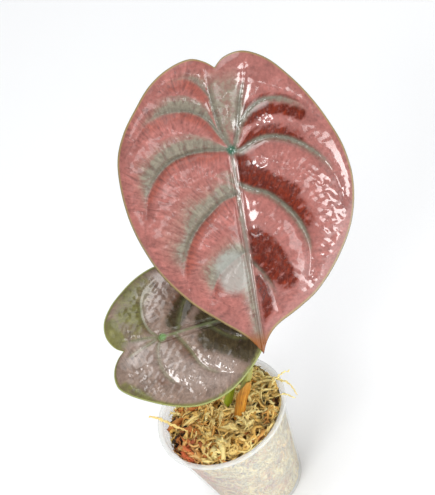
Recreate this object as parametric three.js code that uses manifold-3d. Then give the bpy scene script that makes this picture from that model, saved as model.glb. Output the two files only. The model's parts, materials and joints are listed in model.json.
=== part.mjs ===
// A young jewel alocasia with two leaves, growing in moss in a clear nursery pot.
// Millimetres, +Z up. The origin is the centre of the pot's flat base, and the front is towards -Y.

import * as THREE from 'three';
import Module from 'manifold-3d';
import { mergeVertices } from 'three/addons/utils/BufferGeometryUtils.js';

const { Vector3 } = THREE;
const wasm = await Module();
wasm.setup();

// ---- Driving dimensions ----

const GAP = 0.3;                    // clearance between pieces that touch

const POT_HEIGHT = 70;
const POT_RIM_RADIUS = 37.5;        // outside of the lip
const POT_BASE_RADIUS = 25;
const POT_WALL = 1;
const POT_FLOOR = 1.2;
const LIP_WIDTH = 1.6;
const LIP_DEPTH = 2.5;
const BASE_BEVEL = 1;
const DRAIN_RADIUS = 3;
const DRAIN_RING_RADIUS = 15;
const DRAIN_COUNT = 5;
const POT_SEGMENTS = 48;

const BED_LOW_DROP = 10;            // how far the moss lies below the lip where it is lowest
const BED_HIGH_DROP = 1.6;
const BED_LOW_BEARING = 135;        // where it is lowest, in degrees from +X
const BED_MOUND = 2;                // how far the moss rises towards the middle
const LUMP_HEIGHT = 0.7;
const LUMP_LENGTH = 19;             // from one lump to the next
const BED_RINGS = 7;

const CORM_RADIUS = 7;
const CORM_HEIGHT = 20;
const CORM_PLACE = [5, -2];
const CORM_DEPTH = 17;              // its middle, below the lip

const ROOT_COUNT = 5;
const ROOT_RADIUS = 1.1;
const ROOT_TIP_RADIUS = 0.6;
const ROOT_WALL_MARGIN = 4;         // between a root's middle and the moss's outside

const STRAND_LIFT = 0.5;            // between a lying strand and the moss below it

// Each leaf: its blade's size and place, then its stalk. A place is x, y and a height above the lip.
// The outline runs from the sinus to the tip on each side, in shares of the half width and the length,
// with the stalk's joint at 0, 0. The stalk's route is a list of places, up to its joint.
const LARGE_LEAF = {
  length: 154,
  width: 115,
  thickness: 0.8,
  joint: [69, 19, 144.5],
  heading: -6,
  tilt: 57,
  spin: -15,
  sideDroop: 5,
  tipDroop: 8,
  lobeDroop: 3,
  groove: 1,
  right: [
    [-0.03, 0.266], [0.05, 0.292], [0.21, 0.304], [0.4, 0.273], [0.59, 0.201], [0.75, 0.117], [0.87, 0.032],
    [0.957, -0.052], [0.997, -0.16], [0.94, -0.286], [0.79, -0.396], [0.557, -0.502], [0.365, -0.553],
    [0.14, -0.604], [0.045, -0.648], [-0.005, -0.695],
  ],
  left: [
    [-0.03, 0.266], [-0.1, 0.286], [-0.22, 0.303], [-0.41, 0.286], [-0.6, 0.241], [-0.76, 0.172],
    [-0.89, 0.104], [-0.975, 0.03], [-1, -0.06], [-0.97, -0.18], [-0.89, -0.282], [-0.77, -0.378],
    [-0.55, -0.485], [-0.33, -0.56], [-0.14, -0.622], [-0.06, -0.66], [-0.005, -0.695],
  ],
  stalkRadius: 2.5,
  stalkTopRadius: 1.5,
  stalkRoute: [
    [6, -5.6, -12], [7.6, -8.4, -3], [14, -7, 8], [20, -4.5, 15], [25.8, -1, 22], [34, 6, 34], [43, 14, 52],
    [52, 21, 72], [60, 27, 95], [67, 31.5, 119],
  ],
};

const SMALL_LEAF = {
  length: 92,
  width: 80,
  thickness: 0.8,
  joint: [-6.5, 3.5, 68],
  heading: 14,
  tilt: 30,
  spin: 68,
  sideDroop: 4,
  tipDroop: 5,
  lobeDroop: 4,
  groove: 0.8,
  right: [
    [-0.02, 0.235], [0.05, 0.272], [0.18, 0.302], [0.3, 0.31], [0.45, 0.296], [0.62, 0.24], [0.77, 0.155],
    [0.91, 0.05], [0.99, -0.06], [0.99, -0.17], [0.92, -0.29], [0.76, -0.41], [0.53, -0.52], [0.28, -0.6],
    [0.1, -0.65], [0, -0.69],
  ],
  left: [
    [-0.02, 0.235], [-0.09, 0.275], [-0.2, 0.31], [-0.33, 0.326], [-0.46, 0.318], [-0.59, 0.27],
    [-0.75, 0.175], [-0.9, 0.056], [-0.985, -0.06], [-0.99, -0.17], [-0.92, -0.29], [-0.76, -0.41],
    [-0.53, -0.52], [-0.28, -0.6], [-0.1, -0.65], [0, -0.69],
  ],
  stalkRadius: 2.3,
  stalkTopRadius: 1.3,
  stalkRoute: [
    [3.6, 1.2, -12], [4.2, 3, -4], [11.5, 2, 10], [16, 3.5, 24], [14.5, 7, 37], [7, 9.5, 47], [-0.5, 10, 53],
  ],
};

const STALK_STEPS = 22;
const STALK_SIDES = 10;
const STALK_APPROACH = 9;           // the stalk meets its blade square on over this length
const BLADE_SIDE_POINTS = 30;
const BLADE_RINGS = 7;

const SHEATH_WALL = 0.6;
const SHEATH_FIRST_STEP = 1;        // counted in steps of the large leaf's stalk
const SHEATH_LAST_STEP = 5;
const SHEATH_SLANT = 24;            // degrees between its cut top and the stalk

// Long strands of moss: points in shares of the lip's radius, with a rise over the moss in millimetres.
const BED_STRANDS = [
  {
    radius: 0.75,
    points: [[0.17, -0.02, 0.4], [0, -0.02, 0.8], [-0.2, -0.11, 0.6], [-0.36, -0.3, 0], [-0.48, -0.49, 0]],
  },
  { radius: 0.65, points: [[-0.66, -0.26, 0], [-0.56, -0.44, 0.3], [-0.46, -0.62, 0], [-0.26, -0.72, 0]] },
  { radius: 0.6, points: [[-0.04, -0.4, 0.5], [0.12, -0.54, 0.3], [0.28, -0.56, 0], [0.4, -0.46, 0.4]] },
  { radius: 0.7, points: [[0.36, -0.12, 0], [0.42, -0.3, 0.4], [0.54, -0.4, 0.2], [0.68, -0.4, 0]] },
  { radius: 0.55, points: [[0.56, 0.1, 0.6], [0.6, -0.08, 0.2], [0.74, -0.18, 0]] },
  { radius: 0.6, points: [[0.62, 0.44, 0], [0.76, 0.3, 0.3], [0.8, 0.12, 0]] },
  { radius: 0.65, points: [[0.02, -0.84, 0], [0.14, -0.74, 0.5], [0.32, -0.78, 0.2], [0.4, -0.66, 0]] },
  { radius: 0.6, points: [[-0.28, 0.06, 0.4], [-0.42, 0.16, 0], [-0.62, 0.12, 0.2]] },
  { radius: 0.6, points: [[-0.12, 0.5, 0], [0.1, 0.6, 0.5], [0.34, 0.5, 0]] },
];

// Strands that hang over the lip: the same, with a rise over the lip.
const RIM_STRANDS = [
  { radius: 0.9, points: [[-1.0, 0.49, 0.8], [-0.87, 0.36, 0.2], [-0.74, 0.16, -0.6], [-0.56, -0.04, -3.6]] },
  {
    radius: 0.6,
    points: [[0.72, 0.2, -2.6], [0.86, 0.1, 0], [0.98, -0.06, 0.5], [1.08, -0.2, -0.6], [1.1, -0.38, -4]],
  },
  { radius: 0.55, points: [[0.8, -0.06, -1.6], [0.93, -0.06, 2.2], [1.06, 0, 2], [1.17, 0.04, -1]] },
  { radius: 0.5, points: [[0.8, -0.26, -2], [0.92, -0.32, 0.4], [1.0, -0.42, 0.6], [1.06, -0.5, -0.4]] },
];
const STRAND_STEP = 2.6;
const STRAND_SIDES = 6;
const STRAND_TIP_SHARE = 0.5;       // a strand's radius at its ends, as a share of its middle's

// ---- Materials ----

function paint(colour, roughness) {
  return new THREE.MeshStandardMaterial({ color: colour, roughness, metalness: 0 });
}

const CLEAR_PLASTIC = 0xdcdad2;
const MOSS = 0xd9b87c;
const MOSS_DARK = 0xb8935a;
const LARGE_LEAF_COLOUR = 0xb0625c;
const SMALL_LEAF_COLOUR = 0x8d7f6c;
const LARGE_STALK_COLOUR = 0xa2a449;
const SMALL_STALK_COLOUR = 0x869030;
const SHEATH_COLOUR = 0xa8641a;
const CORM_COLOUR = 0x6d4a2c;
const ROOT_COLOUR = 0xd8cbb0;

// ---- General geometry ----

// A closed surface through rings of points. Each ring runs anticlockwise seen from the end point.
function closedSkin(start, rings, end) {
  const size = rings[0].length;
  const positions = [];
  for (const point of [start, ...rings.flat(), end]) {
    positions.push(point.x, point.y, point.z);
  }
  const last = rings.length * size + 1;
  const triangles = [];
  for (let j = 0; j < size; j++) {
    const next = (j + 1) % size;
    triangles.push(0, 1 + next, 1 + j);
    for (let i = 0; i < rings.length - 1; i++) {
      const here = 1 + i * size;
      const above = here + size;
      triangles.push(here + j, here + next, above + next);
      triangles.push(here + j, above + next, above + j);
    }
    triangles.push(last, last - size + j, last - size + next);
  }
  const geometry = new THREE.BufferGeometry();
  geometry.setAttribute('position', new THREE.Float32BufferAttribute(positions, 3));
  geometry.setIndex(triangles);
  return geometry;
}

// A round rod along a path, from one of its steps to another.
function rod(path, { steps, sides, radiusAt, first = 0, last = steps }) {
  const frames = path.computeFrenetFrames(steps, false);
  const centres = [];
  const rings = [];
  for (let i = first; i <= last; i++) {
    const centre = path.getPointAt(i / steps);
    const radius = radiusAt(i / steps);
    const ring = [];
    for (let j = 0; j < sides; j++) {
      const angle = (2 * Math.PI * j) / sides;
      ring.push(centre.clone()
        .addScaledVector(frames.normals[i], radius * Math.cos(angle))
        .addScaledVector(frames.binormals[i], radius * Math.sin(angle)));
    }
    centres.push(centre);
    rings.push(ring);
  }
  return closedSkin(centres[0], rings, centres[centres.length - 1]);
}

function toSolid(geometry) {
  const bare = geometry.clone();
  bare.deleteAttribute('normal');
  bare.deleteAttribute('uv');
  const merged = mergeVertices(bare);
  return new wasm.Manifold(new wasm.Mesh({
    numProp: 3,
    vertProperties: new Float32Array(merged.attributes.position.array),
    triVerts: new Uint32Array(merged.index.array),
  }));
}

function toGeometry(solid) {
  const mesh = solid.getMesh();
  const geometry = new THREE.BufferGeometry();
  geometry.setAttribute('position', new THREE.Float32BufferAttribute(Array.from(mesh.vertProperties), 3));
  geometry.setIndex(Array.from(mesh.triVerts));
  return geometry;
}

function cut(geometry, ...tools) {
  let solid = toSolid(geometry);
  for (const tool of tools) {
    solid = solid.subtract(toSolid(tool));
  }
  return toGeometry(solid);
}

function addPiece(group, name, geometry, material) {
  const mesh = new THREE.Mesh(geometry, material);
  mesh.name = name;
  group.add(mesh);
  return mesh;
}

// ---- Pot ----

const WALL_TOP_RADIUS = POT_RIM_RADIUS - LIP_WIDTH;

function potOuterRadius(z) {
  return POT_BASE_RADIUS + (WALL_TOP_RADIUS - POT_BASE_RADIUS) * z / POT_HEIGHT;
}

function makePot() {
  const lipBottom = POT_HEIGHT - LIP_DEPTH;
  const profile = [
    [0, 0],
    [POT_BASE_RADIUS - BASE_BEVEL, 0],
    [potOuterRadius(BASE_BEVEL), BASE_BEVEL],
    [potOuterRadius(lipBottom), lipBottom],
    [POT_RIM_RADIUS, lipBottom],
    [POT_RIM_RADIUS, POT_HEIGHT],
    [WALL_TOP_RADIUS - POT_WALL, POT_HEIGHT],
    [potOuterRadius(POT_FLOOR) - POT_WALL, POT_FLOOR],
    [0, POT_FLOOR],
  ];
  const shell = new THREE.LatheGeometry(profile.map(([r, z]) => new THREE.Vector2(r, z)), POT_SEGMENTS);
  shell.rotateX(Math.PI / 2);
  const drains = [];
  for (let i = 0; i < DRAIN_COUNT; i++) {
    const angle = (2 * Math.PI * (i + 0.5)) / DRAIN_COUNT;
    const drain = new THREE.CylinderGeometry(DRAIN_RADIUS, DRAIN_RADIUS, 4 * POT_FLOOR, 16);
    drain.rotateX(Math.PI / 2);
    drain.translate(DRAIN_RING_RADIUS * Math.cos(angle), DRAIN_RING_RADIUS * Math.sin(angle), 0);
    drains.push(drain);
  }
  return cut(shell, ...drains);
}

// ---- Moss ----

function bedRadius(z) {
  return potOuterRadius(z) - POT_WALL - GAP;
}

function bedHeight(x, y) {
  const bearing = THREE.MathUtils.degToRad(BED_LOW_BEARING);
  const across = (x * Math.cos(bearing) + y * Math.sin(bearing)) / POT_RIM_RADIUS;
  const out = Math.hypot(x, y) / POT_RIM_RADIUS;
  const drop = BED_HIGH_DROP + (BED_LOW_DROP - BED_HIGH_DROP) * (across + 1) / 2;
  const wave = (2 * Math.PI) / LUMP_LENGTH;
  const lumps = LUMP_HEIGHT * Math.sin(wave * x + 0.6) * Math.cos(wave * y - 0.4);
  return POT_HEIGHT - drop + BED_MOUND * (1 - out * out) + lumps;
}

function makeBed() {
  const ring = (radiusAt, heightAt) => {
    const points = [];
    for (let j = 0; j < POT_SEGMENTS; j++) {
      const angle = (2 * Math.PI * j) / POT_SEGMENTS;
      const radius = radiusAt(angle);
      const x = radius * Math.cos(angle);
      const y = radius * Math.sin(angle);
      points.push(new Vector3(x, y, heightAt(x, y)));
    }
    return points;
  };
  const edgeRadius = (angle) => {
    const rough = bedRadius(POT_HEIGHT);
    const edge = bedHeight(rough * Math.cos(angle), rough * Math.sin(angle));
    return bedRadius(edge - LUMP_HEIGHT);
  };
  const bottom = POT_FLOOR + GAP;
  const rings = [ring(() => bedRadius(bottom) - GAP, () => bottom)];
  for (let i = BED_RINGS; i > 0; i--) {
    rings.push(ring((angle) => edgeRadius(angle) * i / BED_RINGS, bedHeight));
  }
  return closedSkin(new Vector3(0, 0, bottom), rings, new Vector3(0, 0, bedHeight(0, 0)));
}

function strandPath(strand, heightAt) {
  const points = strand.points.map(([sx, sy, rise]) => {
    const x = sx * POT_RIM_RADIUS;
    const y = sy * POT_RIM_RADIUS;
    return new Vector3(x, y, heightAt(x, y) + strand.radius + STRAND_LIFT + rise);
  });
  return new THREE.CatmullRomCurve3(points, false, 'centripetal');
}

function makeStrand(strand, heightAt) {
  const path = strandPath(strand, heightAt);
  const taper = (t) => strand.radius * (STRAND_TIP_SHARE + (1 - STRAND_TIP_SHARE) * Math.sin(Math.PI * t));
  const steps = Math.ceil(path.getLength() / STRAND_STEP);
  return rod(path, { steps, sides: STRAND_SIDES, radiusAt: taper });
}

// ---- Corm and roots ----

function makeCorm(extra) {
  const body = new THREE.SphereGeometry(1, 20, 12);
  body.rotateX(Math.PI / 2);
  body.scale(CORM_RADIUS + extra, CORM_RADIUS + extra, CORM_HEIGHT / 2 + extra);
  body.translate(CORM_PLACE[0], CORM_PLACE[1], POT_HEIGHT - CORM_DEPTH);
  return body;
}

// A root leaves the corm, runs out towards the pot's side and curls along near the floor.
function rootPath(index) {
  const bearing = (2 * Math.PI * index) / ROOT_COUNT + 0.4;
  const top = POT_HEIGHT - CORM_DEPTH - CORM_HEIGHT / 4;
  const low = POT_FLOOR + GAP + ROOT_WALL_MARGIN;
  const place = (reach, turn, z) => {
    const radius = reach * (bedRadius(z) - ROOT_WALL_MARGIN);
    const x = radius * Math.cos(bearing + turn);
    const y = radius * Math.sin(bearing + turn);
    return new Vector3(x, y, z);
  };
  const start = new Vector3(CORM_PLACE[0], CORM_PLACE[1], top);
  start.x += (CORM_RADIUS - 3 * ROOT_RADIUS) * Math.cos(bearing);
  start.y += (CORM_RADIUS - 3 * ROOT_RADIUS) * Math.sin(bearing);
  const depth = top - low;
  return new THREE.CatmullRomCurve3([
    start,
    place(0.62, 0, top - 0.1 * depth),
    place(0.86, 0.1, top - 0.4 * depth),
    place(0.92, 0.35, top - 0.75 * depth),
    place(0.86, 0.8, low + 0.03 * depth),
    place(0.6, 1.25, low),
  ], false, 'centripetal');
}

function makeRoot(index, extra) {
  const radiusAt = (t) => ROOT_RADIUS + (ROOT_TIP_RADIUS - ROOT_RADIUS) * t + extra;
  return rod(rootPath(index), { steps: 16, sides: 6, radiusAt });
}

// ---- Leaves ----

function bladeFrame(leaf) {
  const frame = new THREE.Group();
  frame.position.set(leaf.joint[0], leaf.joint[1], POT_HEIGHT + leaf.joint[2]);
  frame.rotateZ(THREE.MathUtils.degToRad(leaf.heading));
  frame.rotateX(THREE.MathUtils.degToRad(leaf.tilt));
  frame.rotateZ(THREE.MathUtils.degToRad(leaf.spin));
  frame.updateMatrixWorld();
  return frame;
}

function bladeSide(leaf, shares) {
  const points = shares.map(([x, y]) => new Vector3(x * leaf.width / 2, y * leaf.length, 0));
  return new THREE.CatmullRomCurve3(points, false, 'centripetal').getSpacedPoints(BLADE_SIDE_POINTS);
}

// The blade arches down to its margins and its tip, with a shallow groove along the midrib.
function bladeHeight(leaf, x, y) {
  const side = x / (leaf.width / 2);
  const along = y / leaf.length;
  const tip = Math.max(0, -along / 0.7);
  const lobe = Math.max(0, along / 0.3);
  const groove = leaf.groove * Math.exp(-((x / (0.05 * leaf.width)) ** 2)) * Math.min(1, 12 * Math.abs(along));
  return -leaf.sideDroop * side * side - leaf.tipDroop * tip ** 3 - leaf.lobeDroop * lobe * lobe - groove;
}

function makeBlade(leaf) {
  const left = bladeSide(leaf, leaf.left);
  const right = bladeSide(leaf, leaf.right).reverse();
  const outline = [...left.slice(0, -1), ...right.slice(0, -1)];
  const ring = (share, offset) => outline.map((point) => {
    const x = point.x * share;
    const y = point.y * share;
    return new Vector3(x, y, bladeHeight(leaf, x, y) + offset);
  });
  const half = leaf.thickness / 2;
  const rings = [];
  for (let i = 1; i <= BLADE_RINGS; i++) {
    rings.push(ring(i / BLADE_RINGS, -half));
  }
  for (let i = BLADE_RINGS; i >= 1; i--) {
    rings.push(ring(i / BLADE_RINGS, half));
  }
  return closedSkin(new Vector3(0, 0, -half), rings, new Vector3(0, 0, half));
}

function stalkPath(leaf) {
  const frame = bladeFrame(leaf);
  const under = -leaf.thickness / 2 - GAP;
  const points = leaf.stalkRoute.map(([x, y, z]) => new Vector3(x, y, POT_HEIGHT + z));
  points.push(frame.localToWorld(new Vector3(0, 0, under - STALK_APPROACH)));
  points.push(frame.localToWorld(new Vector3(0, 0, under - STALK_APPROACH / 2)));
  points.push(frame.localToWorld(new Vector3(0, 0, under)));
  return new THREE.CatmullRomCurve3(points, false, 'centripetal');
}

function makeStalk(leaf, extra, range = {}) {
  const thinning = leaf.stalkTopRadius - leaf.stalkRadius;
  const radiusAt = (t) => leaf.stalkRadius + thinning * t + extra;
  return rod(stalkPath(leaf), { steps: STALK_STEPS, sides: STALK_SIDES, radiusAt, ...range });
}

// The papery sheath round the foot of the large leaf's stalk, cut off on a slant.
function makeSheath() {
  const range = { first: SHEATH_FIRST_STEP, last: SHEATH_LAST_STEP };
  const outside = makeStalk(LARGE_LEAF, GAP + SHEATH_WALL, range);
  const inside = makeStalk(LARGE_LEAF, GAP, { first: range.first - 1, last: range.last + 1 });
  const path = stalkPath(LARGE_LEAF);
  const top = path.getPointAt(SHEATH_LAST_STEP / STALK_STEPS);
  const direction = path.getTangentAt(SHEATH_LAST_STEP / STALK_STEPS);
  const length = path.getLength();
  const slant = new THREE.BoxGeometry(length, length, length);
  slant.translate(0, 0, length / 2);
  const tilt = new THREE.Matrix4().makeRotationX(THREE.MathUtils.degToRad(90 - SHEATH_SLANT));
  const aim = new THREE.Matrix4().makeRotationFromQuaternion(
    new THREE.Quaternion().setFromUnitVectors(new Vector3(0, 0, 1), direction));
  slant.applyMatrix4(aim.multiply(tilt));
  const radius = LARGE_LEAF.stalkRadius + GAP + SHEATH_WALL;
  const foot = top.clone().addScaledVector(direction, -radius / Math.tan(THREE.MathUtils.degToRad(SHEATH_SLANT)));
  slant.translate(foot.x, foot.y, foot.z);
  return cut(outside, inside, slant);
}

// ---- Assembly ----

const plant = new THREE.Group();

addPiece(plant, 'pot', makePot(), paint(CLEAR_PLASTIC, 0.25));

const roots = [];
const rootRooms = [];
for (let i = 0; i < ROOT_COUNT; i++) {
  roots.push(makeRoot(i, 0));
  rootRooms.push(makeRoot(i, GAP));
}
const stalkRooms = [makeStalk(LARGE_LEAF, GAP), makeStalk(SMALL_LEAF, GAP)];
const sheathRoom = makeStalk(LARGE_LEAF, 2 * GAP + SHEATH_WALL, {
  first: SHEATH_FIRST_STEP - 1,
  last: SHEATH_LAST_STEP,
});

const bed = cut(makeBed(), makeCorm(GAP), sheathRoom, ...stalkRooms, ...rootRooms);
addPiece(plant, 'moss_bed', bed, paint(MOSS, 0.95));
addPiece(plant, 'corm', cut(makeCorm(0), sheathRoom, ...stalkRooms, ...rootRooms), paint(CORM_COLOUR, 0.9));
roots.forEach((root, i) => addPiece(plant, `root_${i + 1}`, root, paint(ROOT_COLOUR, 0.8)));

addPiece(plant, 'large_leaf_petiole', makeStalk(LARGE_LEAF, 0), paint(LARGE_STALK_COLOUR, 0.4));
addPiece(plant, 'small_leaf_petiole', makeStalk(SMALL_LEAF, 0), paint(SMALL_STALK_COLOUR, 0.4));
addPiece(plant, 'leaf_sheath', makeSheath(), paint(SHEATH_COLOUR, 0.7));

const largeFrame = bladeFrame(LARGE_LEAF);
addPiece(largeFrame, 'large_leaf_blade', makeBlade(LARGE_LEAF), paint(LARGE_LEAF_COLOUR, 0.3));
plant.add(largeFrame);

const smallFrame = bladeFrame(SMALL_LEAF);
addPiece(smallFrame, 'small_leaf_blade', makeBlade(SMALL_LEAF), paint(SMALL_LEAF_COLOUR, 0.45));
plant.add(smallFrame);

BED_STRANDS.forEach((strand, i) => {
  addPiece(plant, `moss_strand_${i + 1}`, makeStrand(strand, bedHeight), paint(MOSS, 0.95));
});
RIM_STRANDS.forEach((strand, i) => {
  addPiece(plant, `rim_strand_${i + 1}`, makeStrand(strand, () => POT_HEIGHT), paint(MOSS_DARK, 0.95));
});

export default plant;
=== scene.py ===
"""A young jewel alocasia in a clear nursery pot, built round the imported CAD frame.

Run as a script inside Blender. Lengths are millimetres in the code, apart from the places and sizes of
the camera and the lights, and metres in Blender.
"""
import json
import math

import bpy
import numpy as np
from bpy.props import FloatProperty, FloatVectorProperty, IntProperty, PointerProperty
from mathutils import Matrix, Vector

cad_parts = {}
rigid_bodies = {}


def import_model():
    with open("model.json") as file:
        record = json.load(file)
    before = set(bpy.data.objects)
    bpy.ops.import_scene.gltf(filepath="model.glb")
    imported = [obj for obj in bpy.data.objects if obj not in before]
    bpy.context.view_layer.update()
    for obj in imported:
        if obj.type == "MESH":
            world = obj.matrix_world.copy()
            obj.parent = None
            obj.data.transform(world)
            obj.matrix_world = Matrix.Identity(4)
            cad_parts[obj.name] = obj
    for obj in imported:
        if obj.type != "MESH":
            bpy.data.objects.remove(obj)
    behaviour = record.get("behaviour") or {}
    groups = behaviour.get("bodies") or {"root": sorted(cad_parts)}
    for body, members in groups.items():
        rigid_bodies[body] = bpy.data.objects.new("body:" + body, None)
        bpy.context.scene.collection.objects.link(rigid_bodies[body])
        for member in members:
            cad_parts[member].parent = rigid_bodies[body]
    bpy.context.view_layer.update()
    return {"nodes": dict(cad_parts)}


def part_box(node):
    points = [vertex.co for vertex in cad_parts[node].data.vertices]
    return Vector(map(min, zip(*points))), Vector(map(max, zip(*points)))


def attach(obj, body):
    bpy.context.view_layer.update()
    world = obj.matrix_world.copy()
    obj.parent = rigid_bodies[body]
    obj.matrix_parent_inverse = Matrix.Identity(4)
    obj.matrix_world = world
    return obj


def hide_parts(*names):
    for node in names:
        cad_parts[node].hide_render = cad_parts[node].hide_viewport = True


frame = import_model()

bl_info = {
    "name": "Potted Alocasia",
    "version": (1, 0, 0),
    "blender": (4, 5, 0),
    "location": "3D View > Sidebar > Alocasia",
    "description": "Builds a young jewel alocasia in a clear nursery pot",
    "category": "Object",
}

MM = 0.001


def box_mm(node):
    """The lowest and highest corners of a CAD node, in millimetres."""
    low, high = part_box(node)
    return np.array(low) / MM, np.array(high) / MM


LIP = box_mm("pot")[1][2]               # height of the pot's lip
LIP_RADIUS = box_mm("pot")[1][0]
BED_FLOOR = box_mm("moss_bed")[0][2]

# The pot's wall, from the same design as its CAD node.
POT_BASE_RADIUS = 25
POT_WALL = 1.0
POT_FLOOR = 1.2
FOOT_RISE = 0.6                         # how far the base is raised inside its foot ring
LIP_WIDTH = 1.6
LIP_DEPTH = 2.5
DRAIN_RADIUS = 3
DRAIN_RING_RADIUS = 15
DRAIN_COUNT = 5
DRAIN_SIDES = 32
POT_SIDES = 144
POT_TURN = 0.011                        # keeps the drains off the pot's edges

# How the moss lies in the pot.
BED_LOW_DROP = 10
BED_HIGH_DROP = 1.6
BED_LOW_BEARING = math.radians(135)
BED_MOUND = 2
BED_GAP = 0.3                           # between the wall and the moss
STRAND_GAP = 0.15                       # between the wall and the outermost strands
BODY_SINK = 7.0                         # how far the top of the moss body lies below the moss's height
UNDER_SINK = 2.6                        # how far the lower layer of strands lies below the upper one
STRAND_KINDS = 20
STRAND_LENGTHS = (13, 26)
STRAND_WIDTHS = (1.9, 3.8)
GROUND_SIDES = 90
GROUND_RINGS = 20
BLUSH_SPOT = (-30, -16)                 # middle of the orange-red clump
BLUSH_REACH_SQUARED = 190               # the square of the distance over which it fades

# Leaf outlines, from the sinus to the tip, in shares of the half width and the length.
LARGE_RIGHT = [
    (-0.03, 0.266), (0.05, 0.292), (0.21, 0.304), (0.4, 0.273), (0.59, 0.201), (0.75, 0.117), (0.87, 0.032),
    (0.957, -0.052), (0.997, -0.16), (0.94, -0.286), (0.79, -0.396), (0.557, -0.502), (0.365, -0.553),
    (0.14, -0.604), (0.045, -0.648), (-0.005, -0.695),
]
LARGE_LEFT = [
    (-0.03, 0.266), (-0.1, 0.286), (-0.22, 0.303), (-0.41, 0.286), (-0.6, 0.241), (-0.76, 0.172),
    (-0.89, 0.104), (-0.975, 0.03), (-1, -0.06), (-0.97, -0.18), (-0.89, -0.282), (-0.77, -0.378),
    (-0.55, -0.485), (-0.33, -0.56), (-0.14, -0.622), (-0.06, -0.66), (-0.005, -0.695),
]
SMALL_RIGHT = [
    (-0.02, 0.235), (0.05, 0.272), (0.18, 0.302), (0.3, 0.31), (0.45, 0.296), (0.62, 0.24), (0.77, 0.155),
    (0.91, 0.05), (0.99, -0.06), (0.99, -0.17), (0.92, -0.29), (0.76, -0.41), (0.53, -0.52), (0.28, -0.6),
    (0.1, -0.65), (0, -0.69),
]
SMALL_LEFT = [
    (-0.02, 0.235), (-0.09, 0.275), (-0.2, 0.31), (-0.33, 0.326), (-0.46, 0.318), (-0.59, 0.27),
    (-0.75, 0.175), (-0.9, 0.056), (-0.985, -0.06), (-0.99, -0.17), (-0.92, -0.29), (-0.76, -0.41),
    (-0.53, -0.52), (-0.28, -0.6), (-0.1, -0.65), (0, -0.69),
]

# Main veins in millimetres from the stalk's joint, from the joint outwards: (side, strength, points).
# Side is 1 for a vein that runs to the right of the midrib and -1 to the left.
LARGE_VEINS = [
    (1, 1.0, [(1, 0), (4, 6), (6, 14), (8, 23), (11, 32), (13, 40)]),
    (1, 1.0, [(5, 11), (12, 18), (19, 21.5), (27, 21), (34, 18), (40, 13), (46, 5)]),
    (1, 1.0, [(0, -1), (5, -1), (11, 2), (18, 3.5), (27, 1.5), (36, -4), (44, -12), (49, -22), (51, -33)]),
    (1, 1.0, [(0, -17), (7, -21), (14, -24), (21, -31), (26, -38), (30, -48), (31, -58), (28, -70)]),
    (1, 0.45, [(0, -56), (5, -63), (9, -71), (11, -84)]),
    (-1, 1.0, [(0, 1), (-4, 9), (-5.5, 18), (-6.5, 27), (-7, 40)]),
    (-1, 0.6, [(-7, 28), (-11, 34), (-17, 38), (-24, 38), (-32, 33)]),
    (-1, 1.0, [(-1, 2), (-5, 9), (-10, 17), (-17, 21.5), (-26, 23), (-35, 21), (-42, 16), (-47, 10)]),
    (-1, 1.0, [(0, 0), (-8, 1), (-15, 1.7), (-23, 1), (-31, -1.5), (-39, -8), (-44, -16), (-47, -27)]),
    (-1, 1.0, [(0, -22), (-8, -24), (-15, -29), (-22, -35), (-28, -43), (-32, -54), (-32, -66)]),
    (-1, 0.4, [(0, -51), (-8, -55), (-16, -61.5), (-22, -74)]),
]
SMALL_VEINS = [
    (1, 0.9, [(0, 0), (2, 7), (3, 14), (4, 21)]),
    (1, 1.0, [(0, 1), (4, 4.5), (8, 6.3), (14, 7), (21, 5.8), (28, 2), (33, -6)]),
    (1, 0.9, [(1, -9), (8, -12), (15, -16), (22, -23), (26, -33)]),
    (1, 0.6, [(1, -26), (7, -31), (13, -39), (16, -48)]),
    (-1, 0.9, [(0, 1), (-2, 8), (-4, 16), (-6, 24)]),
    (-1, 1.0, [(0, 0), (-4, 3), (-9, 4.5), (-16, 4.5), (-23, 1.5), (-29, -5)]),
    (-1, 1.0, [(0, -7), (-6, -10), (-12, -12.6), (-19, -15), (-25, -21), (-29, -30)]),
    (-1, 0.6, [(1, -24), (-6, -30), (-12, -38), (-15, -48)]),
]

# Where the midribs end, from the stalks' joints.
LARGE_MIDRIB_END = (-0.3, -105)
SMALL_MIDRIB_END = (0, -62)

# Soft strokes of tone, painted shade, painted sheen, gloss and crinkle on the blades, in their own
# millimetres: (width, points).
# Dark red on the large blade, laid where its flanks face down and catch no sheen: the leaf's own dark red as
# painted shade.
LARGE_WINE_AND_SHADE = [
    (3.4, [(3.4, -3), (3.8, -16)]),
    (4.2, [(4, -7), (9, -13), (17, -18.5), (26, -25)]),
    (2.6, [(5, 14), (7, 24)]),
    (2.6, [(8, 13), (20, 17.5), (30, 15.5), (36, 12)]),
    (3.4, [(5, -43), (11, -48), (16, -58), (19, -68)]),
    (4.6, [(5, -50), (10, -58), (17, -68)]),
    (2.8, [(4, -67), (6, -77), (5, -90)]),
    (2.0, [(9, 22), (13, 17)]),
]
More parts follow.
